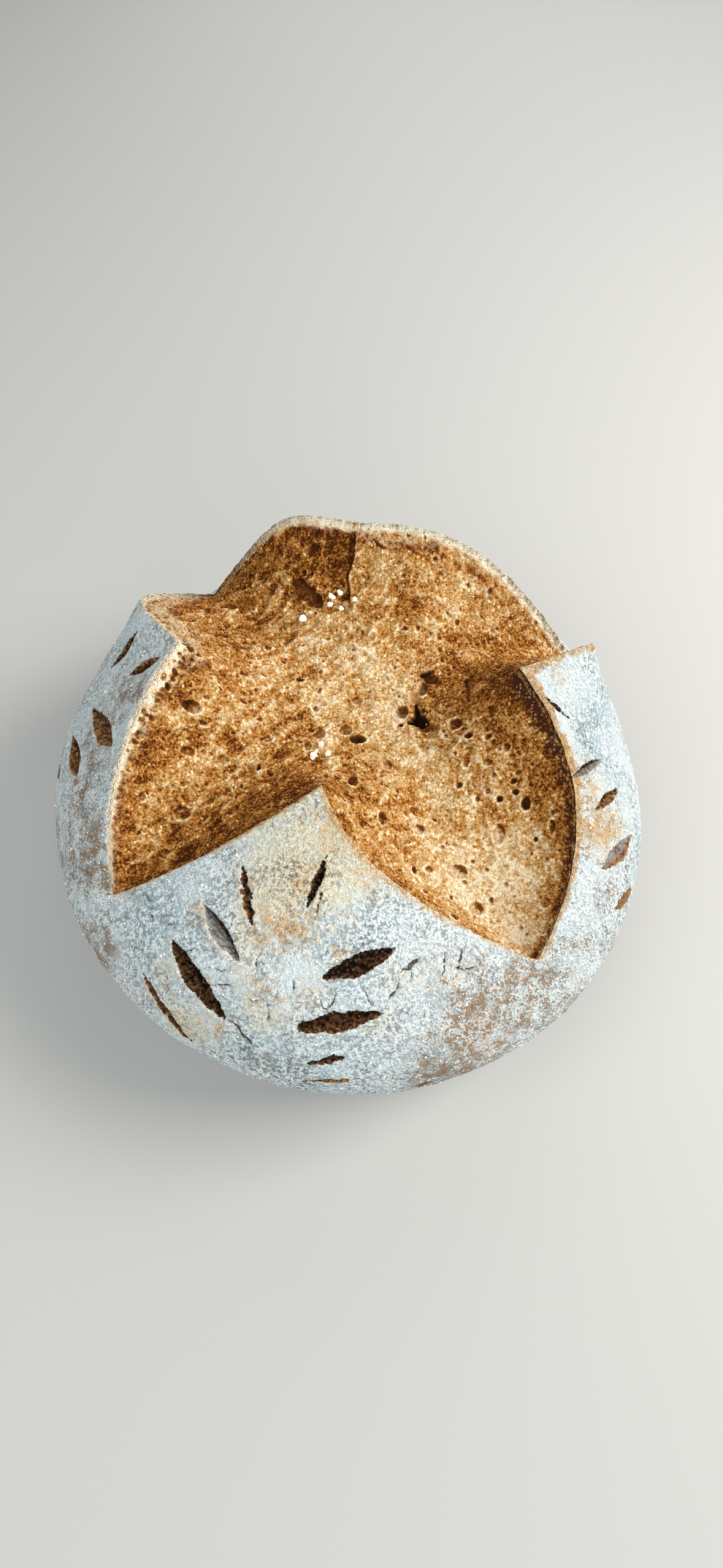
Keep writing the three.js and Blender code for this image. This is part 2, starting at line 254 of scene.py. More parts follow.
def nearest_rim(places):
    """The nearest station of the rim in plan, and how far off it is"""
    return nearest(rim_tree, in_plan(places))


def smooth(value):
    """0 below 0, 1 above 1, and an even curve between"""
    value = np.clip(value, 0, 1)
    return value * value * (3 - 2 * value)


def hill(value, middle, width):
    """1 where a value is at the middle, falling to nothing about two widths off"""
    return np.exp(-(((value - middle) / width) ** 2))


def bump(places, x, y, radius):
    return hill(np.hypot(places[:, 0] - x, places[:, 1] - y), 0, radius)


def crumb_height(places):
    """The opened crumb, which falls away from the rim all round"""
    level = pulled_by_rim(
        places[:, :2],
        rim[:, :2],
        lambda d: rim[:, 2] - DROP * (1 - np.exp(-d / REACH)) - SLOPE * d,
    )
    free = 1 - hill(nearest_rim(places)[1], 0, SWELL_FROM_RIM)
    for x, y, height, radius in SWELLS:
        level += free * height * bump(places, x, y, radius)
    return level


def crust_height(places):
    """The crust: the dome, lifted or sunk to meet the rim"""
    dome = np.column_stack([places[:, :2], dome_height(girth_share(places))])
    rise = rim[:, 2] - rim_dome[:, 2]
    lift = pulled_by_rim(dome, rim_dome, lambda d: rise * np.exp(-((d / EAR_REACH) ** EAR_FALL)))
    return dome[:, 2] + lift


def noise_at(points, size, seed):
    """Smooth noise of about -1 to 1, in lumps of a given size, which may differ along the axes"""
    return np.array([noise.noise(p) for p in (points / size + seed).tolist()])


def rough(points, rows):
    """A sum of noises, each as (size of its lumps, seed, amount)"""
    return sum(amount * noise_at(points, size, seed) for size, seed, amount in rows)


def cells_at(points, size, seed):
    """Round bumps, 1 on top and 0 between them, and a number from -1 to 1 for each bump"""
    found = [noise.voronoi(p) for p in (points / size + seed).tolist()]
    height = np.array([1 - min(1, f[0][0] / BUMP_REACH) ** 2 for f in found])
    tint = np.array([noise.noise(f[1][0] * 7.3 + Vector((0.5, 0.3, 0.1))) for f in found])
    return height, np.clip(tint * 2, -1, 1)


def lattice(low, high, spacing, seed):
    """Points at even triangular spacing, each moved a little"""
    row = spacing * math.sqrt(3) / 2
    x, y = np.meshgrid(np.arange(low[0], high[0], spacing), np.arange(low[1], high[1], row))
    x[1::2] += spacing / 2
    places = np.column_stack([x.ravel(), y.ravel()])
    return places + np.random.default_rng(seed).uniform(-JITTER, JITTER, places.shape) * spacing


def graded(low, high, spacings, wanted, seed):
    """Points of a lattice for each spacing, kept where it is the one that is wanted"""
    kept = []
    for k, spacing in enumerate(spacings):
        places = lattice(low, high, spacing, seed + k)
        kept.append(places[wanted(places) == spacing])
    return np.concatenate(kept)


def clear_of(places, line, gap):
    """The places that lie at least a gap from every point of a line, in plan"""
    return places[nearest(tree_of(in_plan(line)), in_plan(places))[1] > gap]


# The rim line that crumb and crust share, a little ragged as torn crust is, by noise of (size, amount)
RAGGED = ((5, 0.35), (1.8, 0.21))
RAGGED_SEEDS = (3.1, 14.1, 25.1)
TEAR_STEPS = 176


def torn_rim():
    line = np.concatenate([rim_side(i, TEAR_STEPS) for i in range(len(SIDES))])
    for size, amount in RAGGED:
        line = line + amount * np.stack([noise_at(line, size, seed) for seed in RAGGED_SEEDS], axis=1)
    return line


rim_line = torn_rim()
RIM_POINTS = len(rim_line)
RIM_BOX = rim_line[:, :2].min(axis=0), rim_line[:, :2].max(axis=0)


def triangles_of(places):
    """Triangles between flat places that start with the rim line: those inside it, and those outside"""
    flat = [Vector(p) for p in places[:, :2].tolist()]
    found = delaunay_2d_cdt(flat, [], [list(range(RIM_POINTS))], 0, 1e-7, True)
    origin = np.array([ids[0] for ids in found[3]])
    triangles = origin[np.array(found[2])]
    inside = np.array([bool(ids) for ids in found[5]])
    return triangles[inside], triangles[~inside]


def lifted(points, triangles, lift):
    """The points moved along their normals, all but those of the rim line"""
    lift[:RIM_POINTS] = 0
    a, b, c = (points[triangles[:, k]] for k in range(3))
    face = np.cross(b - a, c - a)
    normals = np.zeros_like(points)
    for k in range(3):
        np.add.at(normals, triangles[:, k], face)
    normals /= np.maximum(np.linalg.norm(normals, axis=1, keepdims=True), 1e-12)
    return points + normals * lift[:, None]


# Crumb
# The inside of the loaf, laid open by the slashes: baked dough torn into grains, pores and long
# arcs along the rims, pale where it tore last and toasted brown where it stood out to the heat.
# Part of that brown and pale is painted shade and highlight: darker in hollows, pores, pits and on
# walls turned from the light, paler on crests and on the lit lips of pores.
CRUMB_SPACING = 0.5
PORE_SPACING = 0.36
PORE_MARGIN = 1.2
FROM_RIM = 0.22
UNDERSIDE = 9
UNDERSIDE_RIM = 0.45
UNDERSIDE_SPACING = 5
UNDERSIDE_GAP = 4
UNDERSIDE_EDGE = (0.6, 2.0)
UNDERSIDE_EDGE_SPACING = 1.2
# Pores as [x, y, width across X, length along Y, tone], with tone 0 pale, 1 dark, where the dark is painted
# shade inside the pore
PORES = [
    [-50.6, 8.8, 5.8, 4.0, 0.75], [-51.7, -4.5, 4.4, 2.8, 0.7], [-53.4, -23.1, 5.7, 4.2, 0.35],
    [-35.2, 25.9, 3.9, 2.4, 0.4], [-16.4, 30.1, 2.9, 2.0, 0.8], [-35.2, 15.1, 2.5, 1.3, 0.6],
    [-46.4, 12.8, 2.1, 1.1, 0.6], [-46.9, 4.6, 2.4, 1.4, 0.5], [-37.8, 4.1, 1.7, 0.9, 1.0],
    [-42.5, 17.1, 1.3, 0.9, 1.0], [-28.8, -8, 1.6, 2.7, 0.8], [-34.1, -14.6, 1.2, 1.3, 0.9],
    [-65.5, -19.9, 1.6, 2.4, 0.5], [-60.8, -20.3, 1.4, 1.8, 0.5], [-66.5, -31, 1.2, 2.6, 0.6],
    [-28.7, 42.5, 2.4, 2.5, 0.3], [-29.5, 10.3, 1.9, 1.4, 0.6], [-10.2, 17.8, 2.3, 2.4, 0.15],
    [0.2, 9, 4.6, 4.1, 0.1], [4.5, 5, 5.9, 3.3, 0.95], [3, -15, 3.2, 5, 0.6],
    [-26.4, 3.8, 3.2, 2.9, 0.1], [-8.6, 7, 3.9, 5, 0.1], [-12.6, 1.4, 2.6, 4.3, 0.15],
    [-40.6, -5.2, 3.6, 3, 0.1], [4.1, 22, 4, 3.1, 0.1], [37.8, 7.3, 4.1, 3.8, 0.8],
    [41.8, 2.1, 2.3, 1.9, 1.0], [47.7, 0.2, 2.2, 1.5, 0.9], [53.3, -4.3, 2.2, 2.6, 0.8],
    [37.5, -3, 1.2, 1.2, 0.7], [40.7, -6.6, 2.1, 2.3, 0.2], [47.5, -7.6, 2.9, 2.1, 0.4],
    [56.9, -12.3, 1.8, 1.3, 0.6], [55.6, -14.4, 1.9, 1.6, 1.0], [60.6, -16.4, 0.9, 0.9, 1.0],
    [56.3, -17.7, 2.1, 1.9, 1.0], [47.5, -16.3, 1.9, 1.8, 0.5], [51.2, -19.1, 2.1, 1.9, 1.0],
    [59.3, -21.6, 2.8, 4, 1.0], [44.2, -18.4, 1.6, 2.2, 0.6], [38.3, -13.2, 2.3, 2.3, 0.5],
    [14.4, -5.5, 3.5, 3.8, 0.2], [12.2, -27.5, 2.6, 4.5, 0.6], [24.4, -28.4, 4.2, 3.6, 0.1],
    [50.9, -29.6, 3.9, 6.5, 0.1], [62.2, -32.5, 1.1, 1.6, 1.0], [66.8, -29.7, 1.4, 4.1, 0.9],
    [67, -25.7, 0.9, 1.8, 0.9], [65.3, -39.3, 1.2, 1.8, 0.7], [60.8, -36.7, 1.2, 1.2, 0.7],
    [42, -37.6, 1.4, 1.4, 0.7], [46.6, -40.2, 1.4, 1.3, 0.6], [36.9, -41.2, 6.9, 4.7, 0.1],
    [42.7, -53, 5, 4.4, 0.15], [47.9, -50.1, 1.7, 2.6, 0.6], [34.8, -57.4, 3.1, 2.2, 0.5],
    [22.5, -43.4, 1.4, 3, 0.7], [27.3, -41.9, 2.8, 2.2, 0.5], [64, -52, 2.4, 3.2, 0.3],
    [20, 16.5, 4.4, 4.4, 0.1], [27.5, 24.5, 3.4, 6, 0.15], [-30, -22, 1.3, 1.1, 0.8],
    [19.5, 15.8, 5.2, 5.2, 0.15], [-50.8, 26.2, 1.9, 1.7, 0.95], [-52.5, 27.1, 1.6, 1.4, 0.95],
    [-48.6, 25.6, 1.5, 1.5, 0.9], [-55.3, 17.5, 1.6, 2.2, 0.95], [-56.1, 15.3, 1.3, 1.6, 0.9],
    [-57.5, 12.8, 1.5, 2.1, 0.95], [-53.6, 22.6, 1.3, 1.5, 0.85], [-64.1, 3.5, 1.4, 1.8, 0.8],
    [-65.4, 1.0, 1.4, 1.7, 0.85], [-68.3, -4.5, 1.3, 2.0, 0.85], [-69.2, -7.3, 1.3, 1.7, 0.8],
    [-70.4, -10.0, 1.4, 2.0, 0.8], [32, 66, 1.6, 1.1, 0.9], [44, 60, 2.2, 1.2, 0.6], [21, 62, 1.8, 1.2, 0.7],
]
PORE_DEPTH = 0.55
PORE_LEAN = 0.22
PORE_LIP = 0.16
SMALL_PORES = 650
SMALL_PORE_SIZES = (0.7, 1.6)
SMALL_PORE_DEPTH = 0.5
PORE_WOBBLE = 0.3
# Torn hollows between two points, as [x, y, x, y, radius, radius, depth, tone], with tone 0 grey as a
# lobe of wet dough and 1 black, the dark and the black being painted shadow in the hollow
PITS = [
    [25.4, 12.8, 26.6, 11.6, 2.6, 2.3, 4.4, 1.0], [25.2, 13.0, 24.8, 18.8, 1.9, 0.5, 3.2, 0.95],
    [22.2, 11.8, 26.0, 10.8, 0.9, 1.4, 3.2, 0.95], [26.8, 10.0, 30.6, 7.8, 2.0, 1.4, 1.6, 0.55],
    [29.2, 29.6, 31.0, 28.0, 1.9, 2.1, 2.4, 0.65], [27.6, 30.8, 31.0, 31.6, 0.9, 0.8, 3.2, 0.95],
    [27.4, 26.4, 24.4, 20.8, 2.0, 1.8, 1.0, 0.2],
    [42.2, 25.4, 42.0, 22.0, 1.3, 0.6, 2.2, 0.75],
    [42.4, 25.0, 42.3, 14.4, 0.9, 0.5, 2.0, 0.6],
]
TORN_FIELD = ((15, 6), (35, 34))
SLIT_FROM = (-20.7, 67.9)
SLIT_TO = (-8.9, 57.3)
SLIT_WIDTH = 5.2
SLIT_DEPTH = 3
# The torn edge under the back flap's tip: its line from the tip, and how far the left side is lower
EDGE_LINE = ((4, 78), (2.9, 69.4), (0.7, 64.4), (2.2, 52))
EDGE_DROP = 2.4
EDGE_TOP = 79
# Toasted and pale places of the crumb, as [x, y, radius, amount]. The toasted ones in the hollow under
# the back flap are painted shade as well
TOASTED_AND_SHADED = [
    [-55, 12, 9, 0.12], [-60, -6, 8, 0.14], [-64, -20, 7, 0.1], [-18, -4, 8, 0.35], [-12, -14, 8, 0.4],
    [4, 3, 6, 0.35], [-15, 12, 7, 0.15], [36, 20, 10, 0.3], [36, 30, 9, 0.3], [45, 40, 10, 0.35],
    [62, 46, 10, 0.35], [42, 6, 9, 0.14], [50, -8, 9, 0.12], [57, -18, 8, 0.12], [38, -24, 8, 0.1],
    [12, -27, 8, 0.2], [24, 52, 8, 0.2], [-38, 46, 9, 0.15], [-28, 60, 9, 0.04], [-10, 70, 10, 0.3],
    [-52, 70, 12, 0.2], [30, 16, 7, 0.3], [64, -26, 8, 0.1], [54, 25, 9, 0.35], [60, 8, 8, 0.16],
    [5, -12, 6, 0.15], [25, -55, 9, 0.12],
]
PALE = [
    [-8, 23, 11, 0.3], [14, 17, 9, 0.35], [8, 38, 9, 0.22], [18, 26, 8, 0.3], [30, -12, 9, 0.25],
    [33, -36, 9, 0.3], [58, -64, 9, 0.2], [55, -42, 8, 0.3], [42, 55, 8, 0.25], [-40, 7, 9, 0.25],
    [-50, -13, 7, 0.3], [-36, 64, 8, 0.2], [-6, 0, 5, 0.2], [18, 2, 8, 0.25], [50, -30, 6, 0.2],
    [-28, 32, 8, 0.12], [62, 58, 8, 0.1], [44, -50, 14, 0.36], [56, -60, 10, 0.35],
]
BAKE = 0.585
DARKEST_EVEN = 0.78
# How much browner the crumb gets towards one side, as (direction, from there on, within, amount)
BROWNER = (((-1, 0), 8, 40, 0.17), ((1, 0), 20, 30, -0.05), ((0, 1), 35, 25, 0.06))
# Noise as (size of its lumps, seed, amount)
SWELL_NOISE = ((15, 1.5, 0.9), (5.5, 2.5, 0.8))
TORN_NOISE = ((2.6, 9.5, 0.42), (1.3, 19.5, 0.3))
# Its last two rows follow the torn noise, so hollows are browner and crests paler: painted shade and
# highlight
BAKE_AND_SHADE_NOISE = ((8, 16.1, 0.17), (3.4, 6.1, 0.12), (2.6, 9.5, -0.15), (1.3, 19.5, -0.22))
PIT_NOISE = ((2.4, 4.4, 0.9), (1.1, 14.4, 0.6))
CHAR_NOISE = ((3, 56.1, 0.5), (1.4, 66.1, 0.8))
CREVICE = 1.5
RIDGE_HEIGHT = 0.5
RIDGE_WIDTH = 0.06
STRAND_HEIGHT = 0.7
STRAND_TURN = math.radians(32)
STRAND_SIZE = (11, 3.2, 6)
ARC_HEIGHT = 0.32
ARC_SIZE = (7, 7, 1.7)
LUMP_HEIGHT = 0.24


def oval(places, x, y, width, length):
    """How far each place is across an oval and along it, 1 at its edge"""
    return (places[:, 0] - x) / (width / 2), (places[:, 1] - y) / (length / 2)


def crumb_spacing(places):
    spacing = np.full(len(places), CRUMB_SPACING)
    for x, y, width, length, *_ in PORES:
        near = np.hypot(*oval(places, x, y, width + PORE_MARGIN, length + PORE_MARGIN)) < 1
        spacing[near] = PORE_SPACING
    low, high = TORN_FIELD
    spacing[((places > low) & (places < high)).all(axis=1)] = PORE_SPACING
    return spacing


def crumb_places():
    inner = graded(*RIM_BOX, (CRUMB_SPACING, PORE_SPACING), crumb_spacing, 5)
    return np.concatenate([rim_line[:, :2], clear_of(inner, rim_line, FROM_RIM)])


def all_pores():
    """The pores as rows with a depth: those placed one by one, then small scattered ones"""
    rows = [(*row, PORE_DEPTH) for row in PORES]
    low, high = rim[:, :2].min(axis=0), rim[:, :2].max(axis=0)
    smallest, largest = SMALL_PORE_SIZES
    draw = np.random.default_rng(11)
    for _ in range(SMALL_PORES):
        x, y = draw.uniform(low, high)
        size = smallest + (largest - smallest) * draw.random() ** 2.2
        rows.append((x, y, size * draw.uniform(0.8, 1.4), size, draw.uniform(0.1, 1), SMALL_PORE_DEPTH))
    return rows


def raise_to(values, near, wanted):
    """Raises some of the values to what is wanted there, where they are less"""
    values[near] = np.maximum(values[near], wanted)


def crumb_pores(points, rim_away):
    """The lift, the painted shade and the paleness that pores give the crumb, and the painted highlight on
    their lips
    """
    lift, dark, pale, lit = np.zeros((4, len(points)))
    wobble = PORE_WOBBLE * noise_at(points, 1.1, 8.2)
    for x, y, width, length, tone, depth in all_pores():
        reach = max(width, length) * 0.5 + 1.5
        near = np.flatnonzero((abs(points[:, 0] - x) < reach) & (abs(points[:, 1] - y) < reach))
        lean = (PORE_LEAN, 0.25) if x > 10 else (-PORE_LEAN, 0.3)
        across, along = oval(points[near], x, y, width, length)
        from_middle = np.hypot(across, along)
        from_floor = np.hypot(across - lean[0], along - lean[1])
        hollow = smooth((1.06 - from_middle) / 0.42) * np.clip(1.15 - 0.45 * from_floor**2, 0.3, 1)
        radius = math.sqrt(width * length) / 2
        past = (from_middle - 1) * radius + wobble[near]
        leaning = (lean[0] * across + lean[1] * along) / math.hypot(*lean) + 0.5 * wobble[near]
        inside = rim_away[near] > 1
        lift[near] -= inside * hollow * depth * 2 * radius * (0.4 + 0.6 * tone)
        lift[near] += inside * PORE_LIP * min(1, radius) * hill(past, 0.25, 0.4)
        # Painted shade: each pore darkens inside, most in a crescent on the side it leans to, and the lip
        # across from that gets a painted highlight
        shade = inside * smooth(0.55 - past / (0.14 * radius + 0.15))
        crescent = smooth((leaning - 0.3) / 0.4)
        side = np.maximum(0.3 + 0.7 * smooth((leaning + 0.35) / 0.7), 5 * tone - 4)
        raise_to(dark, near, shade * (tone * side + 0.75 * (1 - tone) * crescent))
        raise_to(pale, near, shade * max(0, 0.4 - tone) * (1 - crescent))
        raise_to(lit, near, inside * hill(past, 0.35, 0.3) * min(1, radius) * smooth(0.6 - leaning))
    return lift, dark, pale, lit


def from_line(places, start, finish):
    """The share along a straight line, from 0 to 1, and the distance from it"""
    run = np.subtract(finish, start)
    t = np.clip((places - start) @ run / (run @ run), 0, 1)
    return t, np.linalg.norm(places - start - t[:, None] * run, axis=1)


def slit(points, torn):
    """The slit under the back flap, as a hollow, a raised lip and a painted shade, darker on one side"""
    start, finish = np.array([SLIT_FROM, SLIT_TO])
    length = np.linalg.norm(finish - start)
    along = (finish - start) / length
    offset = points[:, :2] - (start + finish) / 2
    t, s = offset @ along / (length / 2), offset @ [-along[1], along[0]]
    half = SLIT_WIDTH / 2 * np.sqrt(np.maximum(0, 1 - t**2)) * (1 + 0.4 * torn)
    lip = hill(s, half + 0.5, 0.7) * (abs(t) < 1) * (1 - t**2)
    # Painted shade, strongest towards one wall of the slit
    slit_shade = np.clip(0.72 + 0.22 * s, 0.5, 1) * smooth(1.9 - t)
    return smooth((half - abs(s)) / 1.1), lip, smooth((half - abs(s)) / 0.7) * slit_shade


def crumb_pits(points):
    """Deep torn pits and the slit, as a lift, a painted shade, a painted black shadow and a paleness"""
    lift, dark, pit_shadow, grey = np.zeros((4, len(points)))
    torn = rough(points, PIT_NOISE)
    for *ends, radius0, radius1, depth, tone in PITS:
        t, away = from_line(points[:, :2], ends[:2], ends[2:])
        within = radius0 + (radius1 - radius0) * t - away + torn * (0.25 + 0.35 * tone)
        inside = smooth(0.3 + within / (0.9 + 1.4 * (1 - tone)))
        lift = np.minimum(lift, -depth * smooth((within + 0.3) / 1.6))
        dark = np.maximum(dark, inside * np.clip(1.25 * tone + 0.4 * torn, 0, 1))
        pit_shadow = np.maximum(pit_shadow, 0.85 * inside * inside * max(0, 3 * tone - 2))
        grey = np.maximum(grey, inside * (1 - tone))
    hollow, lip, slit_shade = slit(points, torn)
    return np.minimum(lift, -SLIT_DEPTH * hollow) + 0.5 * lip, np.maximum(dark, slit_shade), pit_shadow, grey


def torn_edge(points):
    """The step under the back flap's tip: how much lower its left side is, its painted shadow line, and its
    painted shade and highlight
    """
    line = np.array(EDGE_LINE[::-1], float)
    s = points[:, 0] - np.interp(points[:, 1], line[:, 1], line[:, 0]) + 0.35 * noise_at(points, 2, 2.2)
    window = smooth((points[:, 1] - line[0, 1]) / 8) * smooth((EDGE_TOP - points[:, 1]) / 4)
    lower = window * smooth(0.5 - s / 1.1) * np.exp(np.minimum(s, 0) / 14)
    ridge = window * hill(s, 0.8, 0.8)
    return EDGE_DROP * lower - 0.5 * ridge, window * hill(s, -0.5, 0.6), 0.25 * lower - 0.35 * ridge


def dotted(points, size, seed, share):
    """Round dots of a size, over a share of the surface from 0 to 1"""
    height, tint = cells_at(points, size, seed)
    return smooth((height - 0.3) / 0.35) * smooth((tint - 1 + 2 * share) / 0.2)


def crumb_bake_and_shade(points, looks, away):
    """How brown the crumb is, from 0 at its palest to 1, with painted shade in its hollows and on walls
    turned from the light
    """
    # The toast band browns the crumb and also lays painted shade on walls turned from the light
    toast_and_shade = looks["toast_and_shade"] * hill(away, 0, looks["toast_and_shade_width"])
    toast_and_shade += sum(amount * bump(points, x, y, radius) for x, y, radius, amount in TOASTED_AND_SHADED)
    toast_and_shade -= sum(amount * bump(points, x, y, radius) for x, y, radius, amount in PALE)
    bake_and_shade = BAKE + 0.6 * toast_and_shade + rough(points, BAKE_AND_SHADE_NOISE)
    for direction, start, within, amount in BROWNER:
        bake_and_shade += amount * smooth((points[:, :2] @ direction - start) / within)
    crowded = smooth(0.5 + 1.6 * noise_at(points, 6, 36.1))
    bake_and_shade -= (0.12 + 0.2 * crowded) * dotted(points, 1.35, 2.9, 0.4)
    return bake_and_shade - 0.14 * dotted(points, 0.95, 7.9, 0.4)


def torn_ridges(points):
    """Thin raised lines where the dough tore last, in places"""
    level = noise_at(points * [1, 1, 0.5], 6.5, 71.3)
    present = smooth((noise_at(points, 12, 81.1) + 0.05) / 0.25)
    return present * hill(level, 0, RIDGE_WIDTH)


def strands(points):
    """Long low ridges where the dough stretched, 1 on a ridge, strongest on the left"""
    x, y, z = points.T
    along = x * math.cos(STRAND_TURN) + y * math.sin(STRAND_TURN)
    across = y * math.cos(STRAND_TURN) - x * math.sin(STRAND_TURN)
    level = noise_at(np.column_stack([along, across, z]) / STRAND_SIZE, 1, 5.3)
    return np.clip(1 - 3.2 * abs(level), -0.6, 1) * (0.35 + 0.65 * smooth((25 - x) / 40))


def rim_bands(points, looks, away, arcs):
    """The bands along the rim: char, partly painted shade, a row of dark specks, dust and the pale cut edge
    """
    shifted = away + 0.8 * noise_at(points, 3.5, 46.1)
    char_and_shade = looks["char_and_shade"] * smooth(1.35 - shifted / looks["char_and_shade_width"])
    char_and_shade *= np.clip(0.85 + rough(points, CHAR_NOISE), 0.2, 1)
    line = looks["line"] * hill(shifted, looks["line_at"], 1.3) * dotted(points, 1.7, 12.9, 0.6)
    dust = looks["dust"] * smooth(1.3 - shifted / looks["dust_width"]) * np.clip(0.7 + 1.3 * arcs, 0.1, 1)
    ragged = away + 0.9 * np.maximum(0, noise_at(points, 1.6, 86.1)) + 0.4 * noise_at(points, 4, 96.1)
    return char_and_shade, line, dust, looks["edge"] * hill(ragged, 0, 0.6 + 1.5 * looks["edge"])


def crumb_relief(points):
    """The crumb's lift along its normal and the marks that its material reads"""
    station, away = nearest_rim(points)
    looks = {name: rim_looks[name][station] for name in LOOKS}
    arcs = noise_at(np.column_stack([points[:, :2], away]) / ARC_SIZE, 1, 3.3)
    ridges = torn_ridges(points)
    stretched = strands(points)
    pore_lift, dark, pale, lit = crumb_pores(points, away)
    pit_lift, pit_shade, pit_shadow, grey = crumb_pits(points)
    step, edge_shadow_line, edge_shade = torn_edge(points)
    lift = rough(points, SWELL_NOISE) + ARC_HEIGHT * arcs + STRAND_HEIGHT * stretched
    lift = lift * smooth((away - 0.5) / 5) + rough(points, TORN_NOISE) + RIDGE_HEIGHT * ridges
    lift += LUMP_HEIGHT * (cells_at(points, 1.6, 0.7)[0] - 0.5)
    lift = lift * smooth(away / 1.2) + pore_lift + pit_lift - step * smooth(away / 4)
    lift -= CREVICE * smooth(away / 0.7) * np.exp(-away / 2.2)

    bake_and_shade = crumb_bake_and_shade(points, looks, away) + 0.14 * arcs
    bake_and_shade -= 0.6 * np.maximum(0, bake_and_shade - DARKEST_EVEN)
    # Painted shade below the torn edge; paler lit pore lips, strand crests and swell tops as painted
    # highlight, torn ridges partly so
    bake_and_shade += 0.6 * edge_shade - 0.3 * ridges - 0.45 * lit - 0.16 * stretched
    bake_and_shade -= 0.14 * noise_at(points, *SWELL_NOISE[1][:2])
    char_and_shade, line, dust, cut_edge = rim_bands(points, looks, away, arcs)
    charred_and_shaded = np.minimum(char_and_shade, 1)
    grains = np.clip(0.5 + noise_at(points, 9, 76.1), 0.1, 1) * smooth((0.95 - bake_and_shade) / 0.5)
    marks = {
        "bake_and_shade": bake_and_shade + 0.3 * charred_and_shaded,
        # painted shade in pores, pits, the slit and along the torn edge, with the rim's row of dark specks
        "dark": np.clip(np.maximum.reduce([dark, pit_shade, 0.9 * edge_shadow_line, line]), 0, 1),
        "pit_shadow": pit_shadow,
        "pale": np.maximum(pale, 0.85 * grey),
        "char_and_shade": char_and_shade,
        "cut_edge": cut_edge,
        "dust": dust,
        "grains": grains * (1 - dark) * (1 - 0.8 * charred_and_shaded),
    }
    return lift, marks


def underside(depth):
    """A coarse sheet below the crumb, on the same rim line, to close a piece"""
    edge = clear_of(lattice(*RIM_BOX, UNDERSIDE_EDGE_SPACING, 19), rim_line, UNDERSIDE_EDGE[0])
    edge = edge[nearest_rim(edge)[1] < UNDERSIDE_EDGE[1]]
    inner = clear_of(lattice(*RIM_BOX, UNDERSIDE_SPACING, 9), rim_line, UNDERSIDE_GAP)
    places = np.concatenate([edge, inner])
    away = nearest_rim(places)[1]
    sunk = UNDERSIDE_RIM + (1 - UNDERSIDE_RIM) * (1 - np.exp(-away / depth))
    points = np.column_stack([places, crumb_height(places) - depth * sunk])
    return points, triangles_of(np.concatenate([rim_line[:, :2], places]))[0]


def closed_object(name, points, triangles, marks, depth, order):
    """A smooth object in metres with named values at its points, closed by an underside that is turned
    over where order is -1"""
    below, more = underside(depth)
    more = np.where(more < RIM_POINTS, more, more + len(points) - RIM_POINTS)[:, ::order]
    points = np.concatenate([points, below])
    used, triangles = np.unique(np.concatenate([triangles, more]), return_inverse=True)
    mesh = bpy.data.meshes.new(name)
    mesh.from_pydata((points[used] * MM).tolist(), [], triangles.reshape(-1, 3).tolist())
    mesh.update()
    mesh.polygons.foreach_set("use_smooth", [True] * len(mesh.polygons))
    for label, values in marks.items():
        values = np.concatenate([values, np.zeros(len(points) - len(values))])
        layer = mesh.attributes.new(label, "FLOAT", "POINT")
        layer.data.foreach_set("value", values[used].astype(np.float32))
    return add_object(name, mesh)


def make_crumb():
    places = crumb_places()
    triangles = triangles_of(places)[0]
    points = np.column_stack([places, crumb_height(places)])
    points[:RIM_POINTS] = rim_line
    lift, marks = crumb_relief(points)
    return closed_object("crumb", lifted(points, triangles, lift), triangles, marks, UNDERSIDE, -1)


crumb = make_crumb()


# Shading helpers, first needed for the crumb: values in millimetres are scaled from Object coordinates
def set_inputs(tree, node, inputs):
    """Sets the inputs of a node, or links them where they are given as a Look or a socket"""
    for name, value in inputs.items():
        value = getattr(value, "socket", value)
        if isinstance(value, bpy.types.NodeSocket):
            tree.links.new(value, node.inputs[name])
        else:
            node.inputs[name].default_value = value


def add_node(tree, kind, inputs, **settings):
    node = tree.nodes.new(kind)
    for name, value in settings.items():
        setattr(node, name, value)
    set_inputs(tree, node, inputs)
    return node


def look(tree, kind, inputs, output=0, **settings):
    """The output of a new node, as a Look"""
    return Look(tree, add_node(tree, kind, inputs, **settings).outputs[output])


class Look:
    """A value or a colour in a node tree, which adds, subtracts and multiplies as a number does"""

    def __init__(self, tree, socket):
        self.tree, self.socket = tree, socket

    def by(self, operation, other):
        return look(self.tree, "ShaderNodeMath", {0: self, 1: other}, operation=operation)

    def __add__(self, other):
        return self.by("ADD", other)

    def __sub__(self, other):
        return self.by("SUBTRACT", other)

    def __mul__(self, other):
        return self.by("MULTIPLY", other)

    def swing(self, amount):
        """A value from 0 to 1 as one that swings about 0"""
        return (self - 0.5) * amount

    def ranged(self, low, high, to_low=0, to_high=1):
        """0 below a low value and 1 above a high one, or other ends, with no overshoot"""
        sockets = {0: self, 1: low, 2: high, 3: to_low, 4: to_high}
        return look(self.tree, "ShaderNodeMapRange", sockets, clamp=True)


def mixed(share, under, over, blend="MIX"):
    sockets = {0: share, 6: under, 7: over}
    return look(share.tree, "ShaderNodeMix", sockets, 2, data_type="RGBA", blend_type=blend)


def layered(colour, *layers):
    """A colour with others laid over it in turn, each as (share, colour)"""
    for share, over in layers:
        colour = mixed(share, colour, over)
    return colour


def mark(tree, name):
    return look(tree, "ShaderNodeAttribute", {}, "Fac", attribute_name=name)


def ramp(value, stops):
    node = add_node(value.tree, "ShaderNodeValToRGB", {0: value})
    elements = node.color_ramp.elements
    while len(elements) < len(stops):
        elements.new(0.5)
    for element, (position, colour) in zip(elements, stops):
        element.position = position
        element.color = colour
    return Look(value.tree, node.outputs[0])


def bumped(height, distance):
    return look(height.tree, "ShaderNodeBump", {"Height": height, "Distance": distance * MM})


